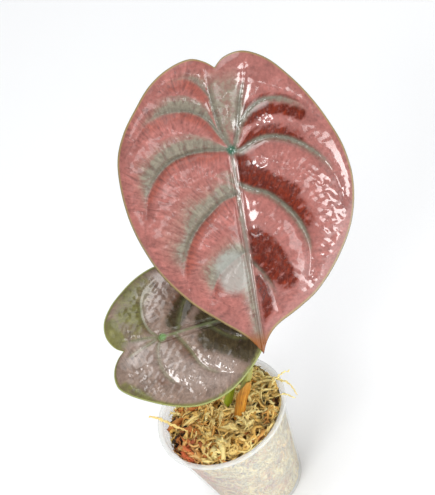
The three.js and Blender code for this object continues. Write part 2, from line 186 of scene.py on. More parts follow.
# Dark red bands of painted shade on the flanks above veins of the large blade: (vein, width, length).
LARGE_WINE_SHADE_BANDS = [(0, 2.4, 16), (1, 3.0, 30), (2, 5.6, 46), (3, 7.5, 56)]
LARGE_SHINE = [
    (3.0, [(9, 37), (11, 30), (13, 23)]),
    (2.2, [(4, 12), (11, 18), (19, 20.5)]),
    (3.4, [(17, 11), (22, 10)]),
    (3.4, [(11, -8), (14, -8.5)]),
    (1.6, [(5, -1), (11, 1), (18, 2.5), (27, 0.5), (36, -5)]),
    (1.6, [(4, -20), (9, -22)]),
    (3.6, [(3, -28), (5, -35), (6, -40)]),
    (10.0, [(49, -20), (51, -35), (47, -54), (38, -72)]),
    (2.4, [(2, -63), (4, -76)]),
    (2.0, [(0, -2), (0, -60)]),
]
LARGE_CRINKLE = [
    (8.0, [(46, -22), (47, -38), (43, -56), (36, -72)]),
    (2.6, [(4, 12), (11, 18), (19, 20.5)]),
    (4.0, [(3, -42), (10, -52), (18, -66)]),
    (3.0, [(3, -62), (5, -80)]),
    (3.0, [(38, 2), (46, -10)]),
]
# A patch of painted sheen on the large blade's left half, near its tip.
LARGE_PAINTED_SHEEN = [(7.5, [(-9.5, -57), (-9, -64)])]
SMALL_CRINKLE = [(20, [(-20, 0), (20, 0)])]
# The painted shadow of the large leaf, dark towards the small blade's tip.
SMALL_PAINTED_SHADOW = [
    (6, [(-8, -24), (-14, -34), (-20, -42)]),
    (5, [(2, -24), (-6, -38)]),
    (4, [(6, -8), (12, -14), (18, -22)]),
]
SMALL_OLIVE = [
    (7, [(12, 14), (22, 12), (30, 4)]),
    (4, [(4, 22), (14, 24)]),
    (3, [(-20, 26), (-30, 16)]),
]
SMALL_SHINE = [
    (9, [(-12, 6), (-18, -2), (-24, -12), (-26, -24)]),
    (6, [(24, 2), (30, -6)]),
    (4, [(14, 4), (20, -2)]),
    (3, [(-2, 12), (-8, 18)]),
]

# The stalks' routes: x, y and a height over the lip.
LARGE_STALK = [
    (6, -5.6, -12), (7.6, -8.4, -3), (14, -7, 8), (20, -4.5, 15), (25.8, -1, 22), (34, 6, 34), (43, 14, 52),
    (52, 21, 72), (60, 27, 95), (67, 31.5, 119),
]
SMALL_STALK = [
    (3.6, 1.2, -12), (4.2, 3, -4), (11.5, 2, 10), (16, 3.5, 24), (14.5, 7, 37), (7, 9.5, 47), (-0.5, 10, 53),
]
STALK_APPROACH = 9                      # how far under its blade a stalk turns to meet it squarely
STALK_END = 0.9                         # how far its end lies under the blade's face
STALK_STEPS = 150
STALK_SIDES = 28

# The camera's place from the middle of the lip, in metres, and how it is turned.
CAMERA_PLACE = (0.0406, -0.5, 0.5752)
CAMERA_DOWN = math.radians(43)
CAMERA_ROLL = math.radians(28)
CAMERA_LENS = 100

# The lights, in metres, and the floor, in millimetres.
LIT_POINT = (0.07, 0, 0.2)
SOFT_LIGHTS = {                         # place, size and power
    "key": ((-0.4, -0.52, 0.76), (0.34, 0.3), 3.0),
    "side": ((0.43, -0.77, 0.27), (0.42, 0.5), 4.6),
    "glint": ((-0.01, -0.64, 0.66), (0.1, 0.12), 0.55),
}
SKY_TOWARD = (-0.1, 0.15, 1)
SKY_POWER = 1.45
SKY_SPREAD = math.radians(50)
WORLD_TINT = (0.97, 0.985, 1, 1)
WORLD_POWER = 0.48
FLOOR_HALF = 2500                       # half of the floor's side


def srgb(red, green, blue):
    """A colour given as 0 to 255 screen values, as linear light."""
    def linear(value):
        share = value / 255
        return share / 12.92 if share <= 0.04045 else ((share + 0.055) / 1.055) ** 2.4
    return (linear(red), linear(green), linear(blue))


def shaded(tint, share):
    """A colour made lighter or darker."""
    return tuple(share * channel for channel in tint)


def length(name, description, default):
    return FloatProperty(name=name, description=description, default=default * MM, unit="LENGTH", min=0)


def angle(name, description, default):
    return FloatProperty(name=name, description=description, default=math.radians(default), subtype="ANGLE")


def place(name, description, default):
    return FloatVectorProperty(name=name, description=description, default=[v * MM for v in default],
                               subtype="TRANSLATION", unit="LENGTH")


def colour(name, description, default):
    return FloatVectorProperty(name=name, description=description, default=srgb(*default), subtype="COLOR",
                               min=0, max=1)


class LargeLeafSettings(bpy.types.PropertyGroup):
    """Size, place and colours of the large leaf."""
    length: length("Length", "Blade length, lobe to tip", 154)
    width: length("Width", "Blade width", 115)
    joint: place("Joint", "Where the stalk meets the blade, from the middle of the lip", (69, 19, 144.5))
    heading: angle("Heading", "Turn of the blade about the upright", -6)
    tilt: angle("Tilt", "Tilt of the blade from level", 57)
    spin: angle("Spin", "Turn of the blade in its own plane", -15)
    side_droop: length("Side droop", "How far the sides arch down", 5)
    tip_droop: length("Tip droop", "How far the tip arches down", 8)
    lobe_droop: length("Lobe droop", "How far the lobes arch down", 3)
    puff: length("Puff", "Height of the cushions between the veins", 4.4)
    stalk_radius: length("Stalk radius", "At its foot", 2.5)
    stalk_top_radius: length("Stalk top radius", "At the blade", 1.5)
    cushion: colour("Cushion", "Skin between the veins", (160, 99, 92))
    # The blush is the leaf's copper red, laid below each vein on the flanks that face up, as painted light.
    blush: colour("Blush", "Red skin below each vein on the left half", (150, 83, 72))
    # The sage colour is partly the leaf's own grey-green and, on the large leaf, painted shade on the flanks
    # above the veins that face down.
    sage_and_shade: colour("Sage", "Grey-green skin above each vein", (126, 119, 104))
    # The wine colour is the leaf's own dark red, laid as painted shade where the flanks face down.
    wine_and_shade: colour("Wine", "Dark red skin on the right half", (82, 18, 2))
    # These flecks are painted highlights of fine wrinkles in the dark red.
    glint_fleck: colour("Fibre", "Lighter flecks in the dark red skin", (146, 50, 18))
    line: colour("Vein line", "Shaded skin close over the veins", (83, 84, 73))
    midrib: colour("Midrib", "The raised midrib", (126, 112, 104))
    # The silver colour is painted sheen.
    painted_sheen: colour("Silver", "A silvery patch near the tip", (148, 150, 143))


class SmallLeafSettings(bpy.types.PropertyGroup):
    """Size, place and colours of the small leaf."""
    length: length("Length", "Blade length, lobe to tip", 92)
    width: length("Width", "Blade width", 80)
    joint: place("Joint", "Where the stalk meets the blade, from the middle of the lip", (-6.5, 3.5, 68))
    heading: angle("Heading", "Turn of the blade about the upright", 14)
    tilt: angle("Tilt", "Tilt of the blade from level", 30)
    spin: angle("Spin", "Turn of the blade in its own plane", 68)
    side_droop: length("Side droop", "How far the sides arch down", 4)
    tip_droop: length("Tip droop", "How far the tip arches down", 5)
    lobe_droop: length("Lobe droop", "How far the lobes arch down", 4)
    puff: length("Puff", "Height of the cushions between the veins", 2.0)
    stalk_radius: length("Stalk radius", "At its foot", 2.3)
    stalk_top_radius: length("Stalk top radius", "At the blade", 1.3)
    cushion: colour("Cushion", "Skin between the veins", (131, 110, 97))
    # On the small leaf the blush is painted shade, laid on the flanks that face down.
    blush: colour("Blush", "Brown-pink skin below each vein", (99, 71, 55))
    sage_and_shade: colour("Sage", "Olive skin along the veins", (104, 101, 57))
    # On the small leaf this colour is the painted shadow cast by the large leaf.
    wine_and_shade: colour("Wine", "Darkest skin", (57, 48, 29))
    # These flecks are painted highlights of fine wrinkles in the darkest skin.
    glint_fleck: colour("Fibre", "Lighter flecks in the darkest skin", (84, 72, 48))
    # The vein line colour is painted shade in the furrows over the veins.
    line: colour("Vein line", "Skin close over the veins", (91, 97, 67))
    midrib: colour("Midrib", "The raised midrib", (104, 116, 78))
    # The silver colour is painted sheen, laid where the small blade shines.
    painted_sheen: colour("Silver", "Silvery skin", (174, 157, 148))


class PotSettings(bpy.types.PropertyGroup):
    """The pot and the moss in it."""
    plastic: colour("Plastic", "Milky clear plastic", (238, 240, 237))
    haze: FloatProperty(name="Haze", description="How much the wall hides what is behind it", default=0.27,
                        min=0, max=1, subtype="FACTOR")
    top_strands: IntProperty(name="Top strands", description="Strands of moss on top", default=1300, min=0)
    side_strands: IntProperty(name="Side strands", description="Strands of moss along the wall",
                              default=900, min=0)
    strand_seed: IntProperty(name="Seed", description="Seed of the moss", default=4)
    straw: colour("Straw", "Palest moss", (252, 232, 158))
    amber: colour("Amber", "Yellow-brown moss", (232, 188, 98))
    rust: colour("Rust", "Orange-brown moss", (200, 122, 58))
    blush: colour("Blush", "Orange-red clump of moss", (222, 112, 66))
    shade: colour("Shade", "Moss deep in the gaps", (44, 24, 10))


# ---- Node trees ----

class Value:
    """A number socket, so that shader maths reads as an expression."""

    def __init__(self, tree, socket):
        self.tree = tree
        self.socket = socket

    def maths(self, operation, *others):
        return self.tree.maths(operation, self, *others)

    def __add__(self, other):
        return self.maths("ADD", other)

    def __sub__(self, other):
        return self.maths("SUBTRACT", other)

    def __rsub__(self, other):
        return self.tree.maths("SUBTRACT", other, self)

    def __mul__(self, other):
        return self.maths("MULTIPLY", other)

    def __truediv__(self, other):
        return self.maths("DIVIDE", other)

    __radd__ = __add__
    __rmul__ = __mul__

    def clamp(self):
        made = self.tree.node("ShaderNodeClamp", {}, {0: self})
        return Value(self.tree, made.outputs[0])

    def step(self, low, high):
        """Rises smoothly from 0 at low to 1 at high."""
        made = self.tree.node("ShaderNodeMapRange", {"interpolation_type": "SMOOTHSTEP"},
                              {"Value": self, "From Min": low, "From Max": high})
        return Value(self.tree, made.outputs[0])


class Tree:
    """A node tree being built."""

    def __init__(self, tree):
        self.tree = tree

    def feed(self, socket, value):
        """Gives a socket a plain value, or links another socket to it."""
        if isinstance(value, Value):
            value = value.socket
        if isinstance(value, bpy.types.NodeSocket):
            self.tree.links.new(value, socket)
        else:
            socket.default_value = value

    def node(self, kind, settings=None, sockets=None):
        """Makes a node: its type, its settings, then the values or links of its sockets."""
        made = self.tree.nodes.new(kind)
        for key, setting in (settings or {}).items():
            setattr(made, key, setting)
        for key, value in (sockets or {}).items():
            self.feed(made.inputs[key], value)
        return made

    def maths(self, operation, *values):
        """A number worked out from others."""
        made = self.node("ShaderNodeMath", {"operation": operation}, dict(enumerate(values)))
        return Value(self, made.outputs[0])


class Skin(Tree):
    """A procedural material being built on one Principled shader."""

    def __init__(self, name):
        self.material = bpy.data.materials.new(name)
        self.material.use_nodes = True
        super().__init__(self.material.node_tree)
        self.shader = self.tree.nodes["Principled BSDF"]
        self.place = self.node("ShaderNodeTexCoord").outputs["Object"]

    def vector(self, x, y, z):
        return self.node("ShaderNodeCombineXYZ", {}, {0: x, 1: y, 2: z}).outputs[0]

    def split(self, vector):
        made = self.node("ShaderNodeSeparateXYZ", {}, {0: vector})
        return [Value(self, socket) for socket in made.outputs]

    def attribute(self, name):
        made = self.node("ShaderNodeAttribute", {"attribute_name": name})
        return self.split(made.outputs["Vector"])

    def noise(self, scale, detail=3, vector=None, roughness=0.55, distortion=0):
        made = self.node("ShaderNodeTexNoise", {}, {
            "Vector": vector or self.place, "Scale": scale, "Detail": detail, "Roughness": roughness,
            "Distortion": distortion})
        return Value(self, made.outputs["Fac"])

    def cells(self, scale):
        """The distance to the nearest edge between small cells."""
        made = self.node("ShaderNodeTexVoronoi", {"feature": "DISTANCE_TO_EDGE"},
                         {"Vector": self.place, "Scale": scale})
        return Value(self, made.outputs["Distance"])

    def mix(self, share, first, second):
        """A colour that goes from first to second."""
        ends = [end if isinstance(end, bpy.types.NodeSocket) else (*end, 1) for end in (first, second)]
        made = self.node("ShaderNodeMix", {"data_type": "RGBA"}, {0: share, 6: ends[0], 7: ends[1]})
        return made.outputs[2]

    def scale(self, tint, share):
        """A colour socket made lighter or darker."""
        made = self.node("ShaderNodeVectorMath", {"operation": "SCALE"}, {0: tint, "Scale": share})
        return made.outputs[0]

    def ramp(self, value, stops):
        """A colour picked from stops, each a position and its colour."""
        made = self.node("ShaderNodeValToRGB", {}, {0: value})
        elements = made.color_ramp.elements
        while len(elements) < len(stops):
            elements.new(1)
        for element, (position, stop) in zip(elements, stops):
            element.position = position
            element.color = (*stop, 1)
        return made.outputs[0]

    def bump(self, height, depth):
        """A normal for a surface whose height varies over a depth in millimetres."""
        made = self.node("ShaderNodeBump", {}, {"Height": height, "Distance": depth * MM, "Strength": 1.0})
        return made.outputs[0]

    def finish(self, **sockets):
        for name, value in sockets.items():
            self.feed(self.shader.inputs[name.replace("_", " ")], value)
        return self.material


# ---- Meshes ----

def add_object(name, data):
    """Puts new data into the scene as an object."""
    made = bpy.data.objects.new(name, data)
    bpy.context.scene.collection.objects.link(made)
    return made


def make_piece(name, points, faces, materials=(), kinds=None, attributes=None):
    """A smooth mesh object at the origin, from points in millimetres."""
    mesh = bpy.data.meshes.new(name)
    mesh.from_pydata(np.asarray(points, float) * MM, [], faces)
    for material in materials:
        mesh.materials.append(material)
    if kinds is not None:
        mesh.polygons.foreach_set("material_index", kinds)
    for key, values in (attributes or {}).items():
        layer = mesh.attributes.new(key, "FLOAT_VECTOR", "POINT")
        layer.data.foreach_set("vector", np.asarray(values, np.float32).ravel())
    mesh.shade_smooth()
    return add_object(name, mesh)


def modified_mesh(piece):
    """A plain mesh of what a piece's modifiers make, which are then removed."""
    graph = bpy.context.evaluated_depsgraph_get()
    mesh = bpy.data.meshes.new_from_object(piece.evaluated_get(graph))
    piece.modifiers.clear()
    return mesh


def points_of(piece):
    """A piece's points, in millimetres."""
    flat = np.empty(len(piece.data.vertices) * 3, np.float32)
    piece.data.vertices.foreach_get("co", flat)
    return flat.reshape(-1, 3).astype(float) / MM


def move_points(piece, points):
    """Moves a piece's points to places in millimetres."""
    piece.data.vertices.foreach_set("co", (points * MM).astype(np.float32).ravel())
    piece.data.update()


def settle(piece, slot, *nodes):
    """Gives a finished piece its body and hides the CAD nodes that it stands for. The slot is not used."""
    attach(piece, "root")
    if nodes:
        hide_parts(*nodes)


def full_turn(sides):
    """Evenly spaced angles round a circle."""
    return np.linspace(0, 2 * math.pi, sides, endpoint=False)


def ring(radius, turns, z):
    """Points round the upright axis, where the radius and the height can vary."""
    return np.column_stack([radius * np.cos(turns), radius * np.sin(turns), z * np.ones(len(turns))])


def ring_faces(rings, size):
    """Quads between rings of points, where each ring has the same number of points."""
    here = np.arange(rings - 1)[:, None] * size
    step = np.arange(size)[None, :]
    following = (step + 1) % size
    quads = np.stack([here + step, here + following, here + size + following, here + size + step], axis=-1)
    return quads.reshape(-1, 4)


def closed_body(rings, start, end):
    """Points and faces of a body through rings, closed at both ends by a point."""
    size = len(rings[0])
    points = np.vstack([[start], *rings, [end]])
    here = np.arange(size)
    following = (here + 1) % size
    last = len(points) - 1
    first_fan = np.stack([0 * here, 1 + following, 1 + here], axis=1)
    last_fan = np.stack([np.full(size, last), last - size + here, last - size + following], axis=1)
    return points, first_fan.tolist() + (ring_faces(len(rings), size) + 1).tolist() + last_fan.tolist()


def smooth_line(points, count=None, spacing=None):
    """Evenly spaced points along a smooth curve through the given ones."""
    knots = np.asarray(points, float)
    gaps = np.linalg.norm(np.diff(knots, axis=0), axis=1) ** 0.5
    slopes = np.diff(knots, axis=0) / gaps[:, None]
    inner = (slopes[:-1] * gaps[1:, None] + slopes[1:] * gaps[:-1, None]) / (gaps[1:] + gaps[:-1])[:, None]
    tangents = np.vstack([slopes[:1], inner, slopes[-1:]])
    share = np.linspace(0, 1, 16, endpoint=False)[:, None]
    pieces = []
    for i, gap in enumerate(gaps):
        square = share * share
        cube = square * share
        pieces.append((2 * cube - 3 * square + 1) * knots[i] + (cube - 2 * square + share) * gap * tangents[i]
                      + (3 * square - 2 * cube) * knots[i + 1] + (cube - square) * gap * tangents[i + 1])
    line = np.vstack(pieces + [knots[-1:]])
    run = np.concatenate([[0], np.cumsum(np.linalg.norm(np.diff(line, axis=0), axis=1))])
    if count is None:
        count = max(2, int(round(run[-1] / spacing)) + 1)
    even = np.linspace(0, run[-1], count)
    return np.stack([np.interp(even, run, line[:, k]) for k in range(line.shape[1])], axis=1)


def ripple(x, y, wavelength, seed):
    """Smooth wandering noise, mostly from -1 to 1, with about the given wavelength."""
    waves = 9
    chance = np.random.default_rng(seed)
    total = np.zeros_like(x)
    for _ in range(waves):
        turn = chance.uniform(0, 2 * math.pi)
        rate = 2 * math.pi / (wavelength * chance.uniform(0.7, 1.5))
        total += np.sin(rate * (x * math.cos(turn) + y * math.sin(turn)) + chance.uniform(0, 2 * math.pi))
    return total / waves ** 0.5 / 1.2


def bell(distance, width):
    """A smooth hump, 1 at no distance and nearly 0 at twice the width."""
    return np.exp(-(distance / width) ** 2)


def strokes(x, y, drawn):
    """How strongly soft strokes cover points, from 0 to 1."""
    total = np.zeros(x.shape)
    for width, points in drawn:
        gap = line_distance(x, y, np.array(points, float))[0]
        total = np.maximum(total, bell(np.maximum(0, gap - 0.45 * width), 0.7 * width))
    return total


def rise(value, low, high):
    """Rises smoothly from 0 at low to 1 at high."""
    share = np.clip((value - low) / (high - low), 0, 1)
    return share * share * (3 - 2 * share)


# ---- Leaf blades ----

BLADE_STEPS = 270                       # points down each side of a blade
BLADE_RINGS = 96
BACK_RINGS = 40
GRID_STEP = 0.8                         # millimetres, for the cushions' relaxation
GRID_MARGIN = 4
RELAX_PASSES = 260
VEIN_REACH = 0.75 * GRID_STEP           # how near a grid point has to be for a vein to hold it
SWELL_SIZE = 42                         # how far the sheet blows up before it flattens off
FAR = 1e9


def line_distance(x, y, line):
    """For each point, its distance to a line, its side of it (1 to the left) and how far along it lies.

    The line's length comes last.
    """
    best = np.full(x.shape, FAR)
    side = np.zeros(x.shape)
    along = np.zeros(x.shape)
    run = 0.0
    for start, end in zip(line[:-1], line[1:]):
        span = end - start
        size = math.hypot(*span)
        share = np.clip(((x - start[0]) * span[0] + (y - start[1]) * span[1]) / size ** 2, 0, 1)
        gap_x = x - start[0] - share * span[0]
        gap_y = y - start[1] - share * span[1]
        gap = np.hypot(gap_x, gap_y)
        nearer = gap < best
        best = np.where(nearer, gap, best)
        side = np.where(nearer, np.sign(span[0] * gap_y - span[1] * gap_x), side)
        along = np.where(nearer, run + share * size, along)
        run += size
    return best, side, along, run


class BladeMap:
    """What a blade looks like at each point of its own plane."""

    def __init__(self, settings, right, left, veins, midrib_end, crinkles, smooth_side=0.0):
        self.settings = settings
        self.crinkles = crinkles
        self.smooth_side = smooth_side
        self.half = settings.width / MM / 2
        self.long = settings.length / MM
        scale = np.array([self.half, self.long])
        self.right = smooth_line(np.array(right) * scale, BLADE_STEPS + 1)
        self.left = smooth_line(np.array(left) * scale, BLADE_STEPS + 1)
        self.outline = np.vstack([self.left[:-1], self.right[::-1][:-1]])
        self.veins = [(side, strength, smooth_line(points, spacing=2.5)) for side, strength, points in veins]
        self.midrib = np.array([(0, 0), midrib_end])
        self.relax()

    def vein_pull(self, x, y):
        """How firmly the veins hold the skin down, from 0 to 1."""
        pull = np.zeros(x.shape)
        for _, strength, line in self.veins:
            gap, _, along, run = line_distance(x, y, line)
            firm = strength * (1 - 0.93 * rise(along / run, 0.45, 1.0))
            pull = np.maximum(pull, firm * (gap < VEIN_REACH))
        gap, _, along, run = line_distance(x, y, self.midrib)
        return np.maximum(pull, (1 - 0.9 * rise(along / run, 0.75, 1)) * (gap < VEIN_REACH))

    def inside(self, x, y):
        """Whether points lie within the outline."""
        turn = np.unwrap(np.arctan2(self.outline[:, 1], self.outline[:, 0]))
        reach = np.hypot(self.outline[:, 0], self.outline[:, 1])
        order = np.argsort(turn % (2 * math.pi))
        limit = np.interp(np.arctan2(y, x) % (2 * math.pi), (turn % (2 * math.pi))[order], reach[order],
                          period=2 * math.pi)
        return np.hypot(x, y) < limit

    def relax(self):
        """Blows the skin up between the veins, like a sheet held down along them."""
        low = self.outline.min(axis=0) - GRID_MARGIN
        high = self.outline.max(axis=0) + GRID_MARGIN
        height = None
        for scale in (4, 2, 1):
            step = GRID_STEP * scale
            xs = np.arange(low[0], high[0], step)
            ys = np.arange(low[1], high[1], step)
            x, y = np.meshgrid(xs, ys, indexing="ij")
            free = self.inside(x, y) * (1 - self.vein_pull(x, y) ** 0.5)
            if height is None:
                height = np.zeros(x.shape)
            else:
                height = np.kron(height, np.ones((2, 2)))
                height = np.pad(height, [(0, max(0, n - m)) for n, m in zip(x.shape, height.shape)])
                height = height[:x.shape[0], :x.shape[1]]
            for _ in range(RELAX_PASSES):
                around = (np.roll(height, 1, 0) + np.roll(height, -1, 0)
                          + np.roll(height, 1, 1) + np.roll(height, -1, 1)) / 4
                height = (around + step * step / 4) * free
        self.low = low
        self.swell = 1 - np.exp(-height / SWELL_SIZE)
        self.slopes = np.gradient(self.swell, GRID_STEP)

    def sample(self, x, y, layer=None):
        """The cushions' height at points, smoothly interpolated, from 0 to 1, or another layer."""
        layer = self.swell if layer is None else layer
        fx = (x - self.low[0]) / GRID_STEP
        fy = (y - self.low[1]) / GRID_STEP
        ix = np.floor(fx).astype(int)
        iy = np.floor(fy).astype(int)
        total = np.zeros(x.shape)
        for weight_x, dx in zip(self.spline(fx - ix), range(-1, 3)):
            for weight_y, dy in zip(self.spline(fy - iy), range(-1, 3)):
                cell_x = np.clip(ix + dx, 0, layer.shape[0] - 1)
                cell_y = np.clip(iy + dy, 0, layer.shape[1] - 1)
                total += weight_x * weight_y * layer[cell_x, cell_y]
        return total

    @staticmethod
    def spline(t):
        """The four weights of a uniform cubic B-spline."""
        return ((1 - t) ** 3 / 6, (3 * t ** 3 - 6 * t ** 2 + 4) / 6,
                (-3 * t ** 3 + 3 * t ** 2 + 3 * t + 1) / 6, t ** 3 / 6)

    def arch(self, x, y):
        """The blade's broad curve, without cushions."""
        side = x / self.half
        along = y / self.long
        tip = np.maximum(0, -along / 0.7)
        lobe = np.maximum(0, along / 0.3)
        keep = self.settings
        return -(keep.side_droop * side ** 2 + keep.tip_droop * tip ** 3 + keep.lobe_droop * lobe ** 2) / MM

    def nearest_vein(self, x, y):
        """Signed distance to the nearest vein (above 0 on its tip side), how far along it, its strength
        there, its number, and how much further off the next nearest one is."""
        best = np.full(x.shape, FAR)
        following = np.full(x.shape, FAR)
        signed, along, firm, number = (np.zeros(x.shape) for _ in range(4))
        for index, (direction, strength, line) in enumerate(self.veins):
            gap, side, run, total = line_distance(x, y, line)
            fade = strength * (1 - rise(run / total, 0.55, 1.0))
            gap = gap + 6 * rise(run / total, 0.75, 1.0)
            nearer = gap < best
            following = np.where(nearer, best, np.minimum(following, gap))
            best = np.where(nearer, gap, best)
            signed = np.where(nearer, -direction * side * gap, signed)
            along = np.where(nearer, run, along)
            firm = np.where(nearer, fade, firm)
            number = np.where(nearer, index, number)
        return signed, along, firm, number, following - best


def blade_matrix(settings):
    """Where a blade's own plane lies in the frame."""
    spot = Vector(settings.joint) + Vector((0, 0, LIP * MM))
    return (Matrix.Translation(spot) @ Matrix.Rotation(settings.heading, 4, "Z")
            @ Matrix.Rotation(settings.tilt, 4, "X") @ Matrix.Rotation(settings.spin, 4, "Z"))


def to_world(settings, points):
    """Points in the blade's own millimetres, as millimetres in the frame."""
    matrix = np.array(blade_matrix(settings))
    return points @ matrix[:3, :3].T + matrix[:3, 3] / MM


def make_blade(name, blade, tones, materials):
    """A closed blade: its face, then its back, each as rings round the stalk's joint."""
    size = len(blade.outline)
    shares = np.linspace(0, 1, BLADE_RINGS + 1)[1:]
    back_shares = np.linspace(1, 0, BACK_RINGS + 1)[1:-1]
    rings = [share * blade.outline for share in (*shares, *back_shares)]
    plan, faces = closed_body(rings, (0, 0), (0, 0))
    x, y = plan.T
    on_back = np.arange(len(plan)) > BLADE_RINGS * size
    edge = np.concatenate([[0], np.repeat(shares, size), np.repeat(back_shares, size), [0]])
    height, thick = blade_relief(blade, x, y, edge)
    points = to_world(blade.settings, np.column_stack([x, y, height - on_back * thick]))
    kinds = (np.arange(len(faces)) >= BLADE_RINGS * size).astype(np.int32)
    outward = [face[::-1] for face in faces]
    return make_piece(name, points, outward, materials, kinds, tones(blade, x, y, edge))


def blade_relief(blade, x, y, edge):
    """Height and thickness of a blade: broad arch, cushions, vein furrows, quilting and crumples."""
    settings = blade.settings
    puff = settings.puff / MM
    signed, along, firm, number, spare = blade.nearest_vein(x, y)
    middle = line_distance(x, y, blade.midrib)[0]
    swell = blade.sample(x, y)
    calm = rise(spare, 0, 4)
    quilt = 0.08 * swell * calm * np.sin(along * 2 * math.pi / 3.4 + 2.2 * ripple(x, y, 16, 3) + number)
    rough = 1 + 3.8 * strokes(x, y, blade.crinkles)
    crumple = swell * (0.3 * ripple(x, y, 9, 5) + 0.09 * ripple(x, y, 4.5, 6) * rough)
    margin = rise(edge, 0.93, 1.0)
    height = blade.arch(x, y) + puff * swell + quilt + crumple - 0.4 * margin
    rib = 1.3 - 0.7 * edge
    start = rise(edge, 0.01, 0.06)
    height += start * (0.5 * bell(middle, rib) - 0.7 * bell(middle - 1.7 * rib, 0.7))
    height += firm * (0.22 * bell(signed, 0.5) - 0.45 * bell(signed, 1.5)) * start
    thick = 0.75 - 0.3 * margin + 0.5 * firm * bell(signed, 1.5) + 1.1 * bell(middle, 2) * (1 - 0.6 * edge)
    return height, thick


def flow_attribute(blade, x, y):
    """How the skin's fine lines run: along and across the nearest vein, and how plainly they show."""
    signed, along, _, number, spare = blade.nearest_vein(x, y)
    calm = rise(spare, 0, 4) * (1 - blade.smooth_side * rise(x, -2, 3))
    return np.column_stack([along + 37 * number, signed, calm])


def large_tones(blade, x, y, edge):
    """The large blade's colour masks, with the light and shade of its cushions painted into them from their
    slopes.
    """
    signed, along, firm, number, _ = blade.nearest_vein(x, y)
    middle = line_distance(x, y, blade.midrib)[0]
    right = rise(x, -2, 3)
    left = 1 - right
    above = np.maximum(-signed, 0)
    below = np.maximum(signed, 0)
    slope_x, slope_y = (blade.sample(x, y, layer) for layer in blade.slopes)
    wander = 1 + 0.35 * ripple(x, y, 22, 11)
    inner = 1 - rise(edge, 0.72, 0.97)
    # Sage: on the left half, painted shade read from the cushions' slopes and from the distance above each
    # vein, where the flanks face down; near the right half's veins, along the midrib and in the sinus, the
    # leaf's own grey-green.
    sage_and_shade = left * inner * rise(slope_y * wander, -0.02, 0.055)
    wedge = rise(y, 2, 12) * rise(8 - np.abs(x - 1) + 0.06 * y, 0, 4)
    for patch in (
            left * inner * 0.95 * bell(above, 9 * wander) * (signed <= 0) * (0.35 + 0.65 * firm),
            left * 0.8 * bell(below, 1.0) * (signed > 0) * firm,
            right * 0.8 * bell(above, 1.5) * (signed <= 0) * (0.3 + firm) * inner,
            right * 0.7 * bell(below, 2.0) * (signed > 0) * (0.2 + firm) * inner,
            0.85 * bell(middle, 6 * wander) * left * rise(-y, 35, 60),
            0.8 * bell(middle, 1.5),
            0.7 * wedge * (1 - rise(y, 28, 46))):
        sage_and_shade = np.maximum(sage_and_shade, patch)
    # Red: the leaf's copper red in a band below each vein and on the flanks that face up, read from the
    # slopes, as painted light.
    red = left * (signed > 0) * bell(below - 2.2, 3 * wander) * (1 - 0.6 * rise(edge, 0.8, 1))
    red = np.maximum(red, left * 0.3 * rise(-slope_y, 0.01, 0.07)) * (1 - 0.7 * bell(middle, 8))
    strip = left * bell(x + 8.6, 2.2) * rise(y, 10, 16) * (1 - rise(y, 36, 44))
    red = np.maximum(red, strip)
    # Wine: the leaf's dark red, laid as painted shade where the flanks face down, from strokes, from the
    # slopes and in bands above the veins.
    wine_and_shade = strokes(x, y, LARGE_WINE_AND_SHADE)
    downward_shade = rise((slope_y + 0.25 * np.maximum(slope_x, 0)) * wander, 0.03, 0.085) * rise(y, -90, -70)
    wine_and_shade = np.maximum(wine_and_shade, downward_shade * (1 - rise(along, 30, 52)) * (1 - rise(x, 30, 44)))
    for vein, width, reach in LARGE_WINE_SHADE_BANDS:
        band = bell(np.maximum(0, above - 0.5 * width), 0.7 * width) * (signed <= 0)
        wine_and_shade = np.maximum(wine_and_shade, band * (1 - rise(along, 0.4 * reach, reach)) * (number == vein))
    wine_and_shade *= rise(x, 0.8, 2.4) * (1 - rise(edge, 0.85, 0.95)) * (1 - rise(y, 14, 24) * 0.5)
    wine_and_shade *= np.clip(0.95 + 0.4 * ripple(x + 0.5 * y, 2.5 * (y - 0.5 * x), 9, 13), 0, 1)
    shine = strokes(x, y, LARGE_SHINE)
    gloss = right * (0.2 + 0.8 * shine + 0.3 * rise(edge, 0.7, 0.9)) * (1 - 0.95 * wine_and_shade * (1 - shine))
    gloss += 0.5 * strip + 0.4 * bell(middle, 2.5) + 0.12 * left
    return {
        "flow": flow_attribute(blade, x, y),
        "tone": np.column_stack([np.clip(sage_and_shade, 0, 1), np.clip(red, 0, 1), wine_and_shade]),
        "spot": np.column_stack([np.clip(gloss, 0, 1), 0.25 + 0.75 * strokes(x, y, LARGE_CRINKLE),
                                 strokes(x, y, LARGE_PAINTED_SHEEN) * left]),
        "edge": np.column_stack([edge, middle, bell(np.hypot(x, y), 3.2) - rise(-y, 92, 101)]),
    }


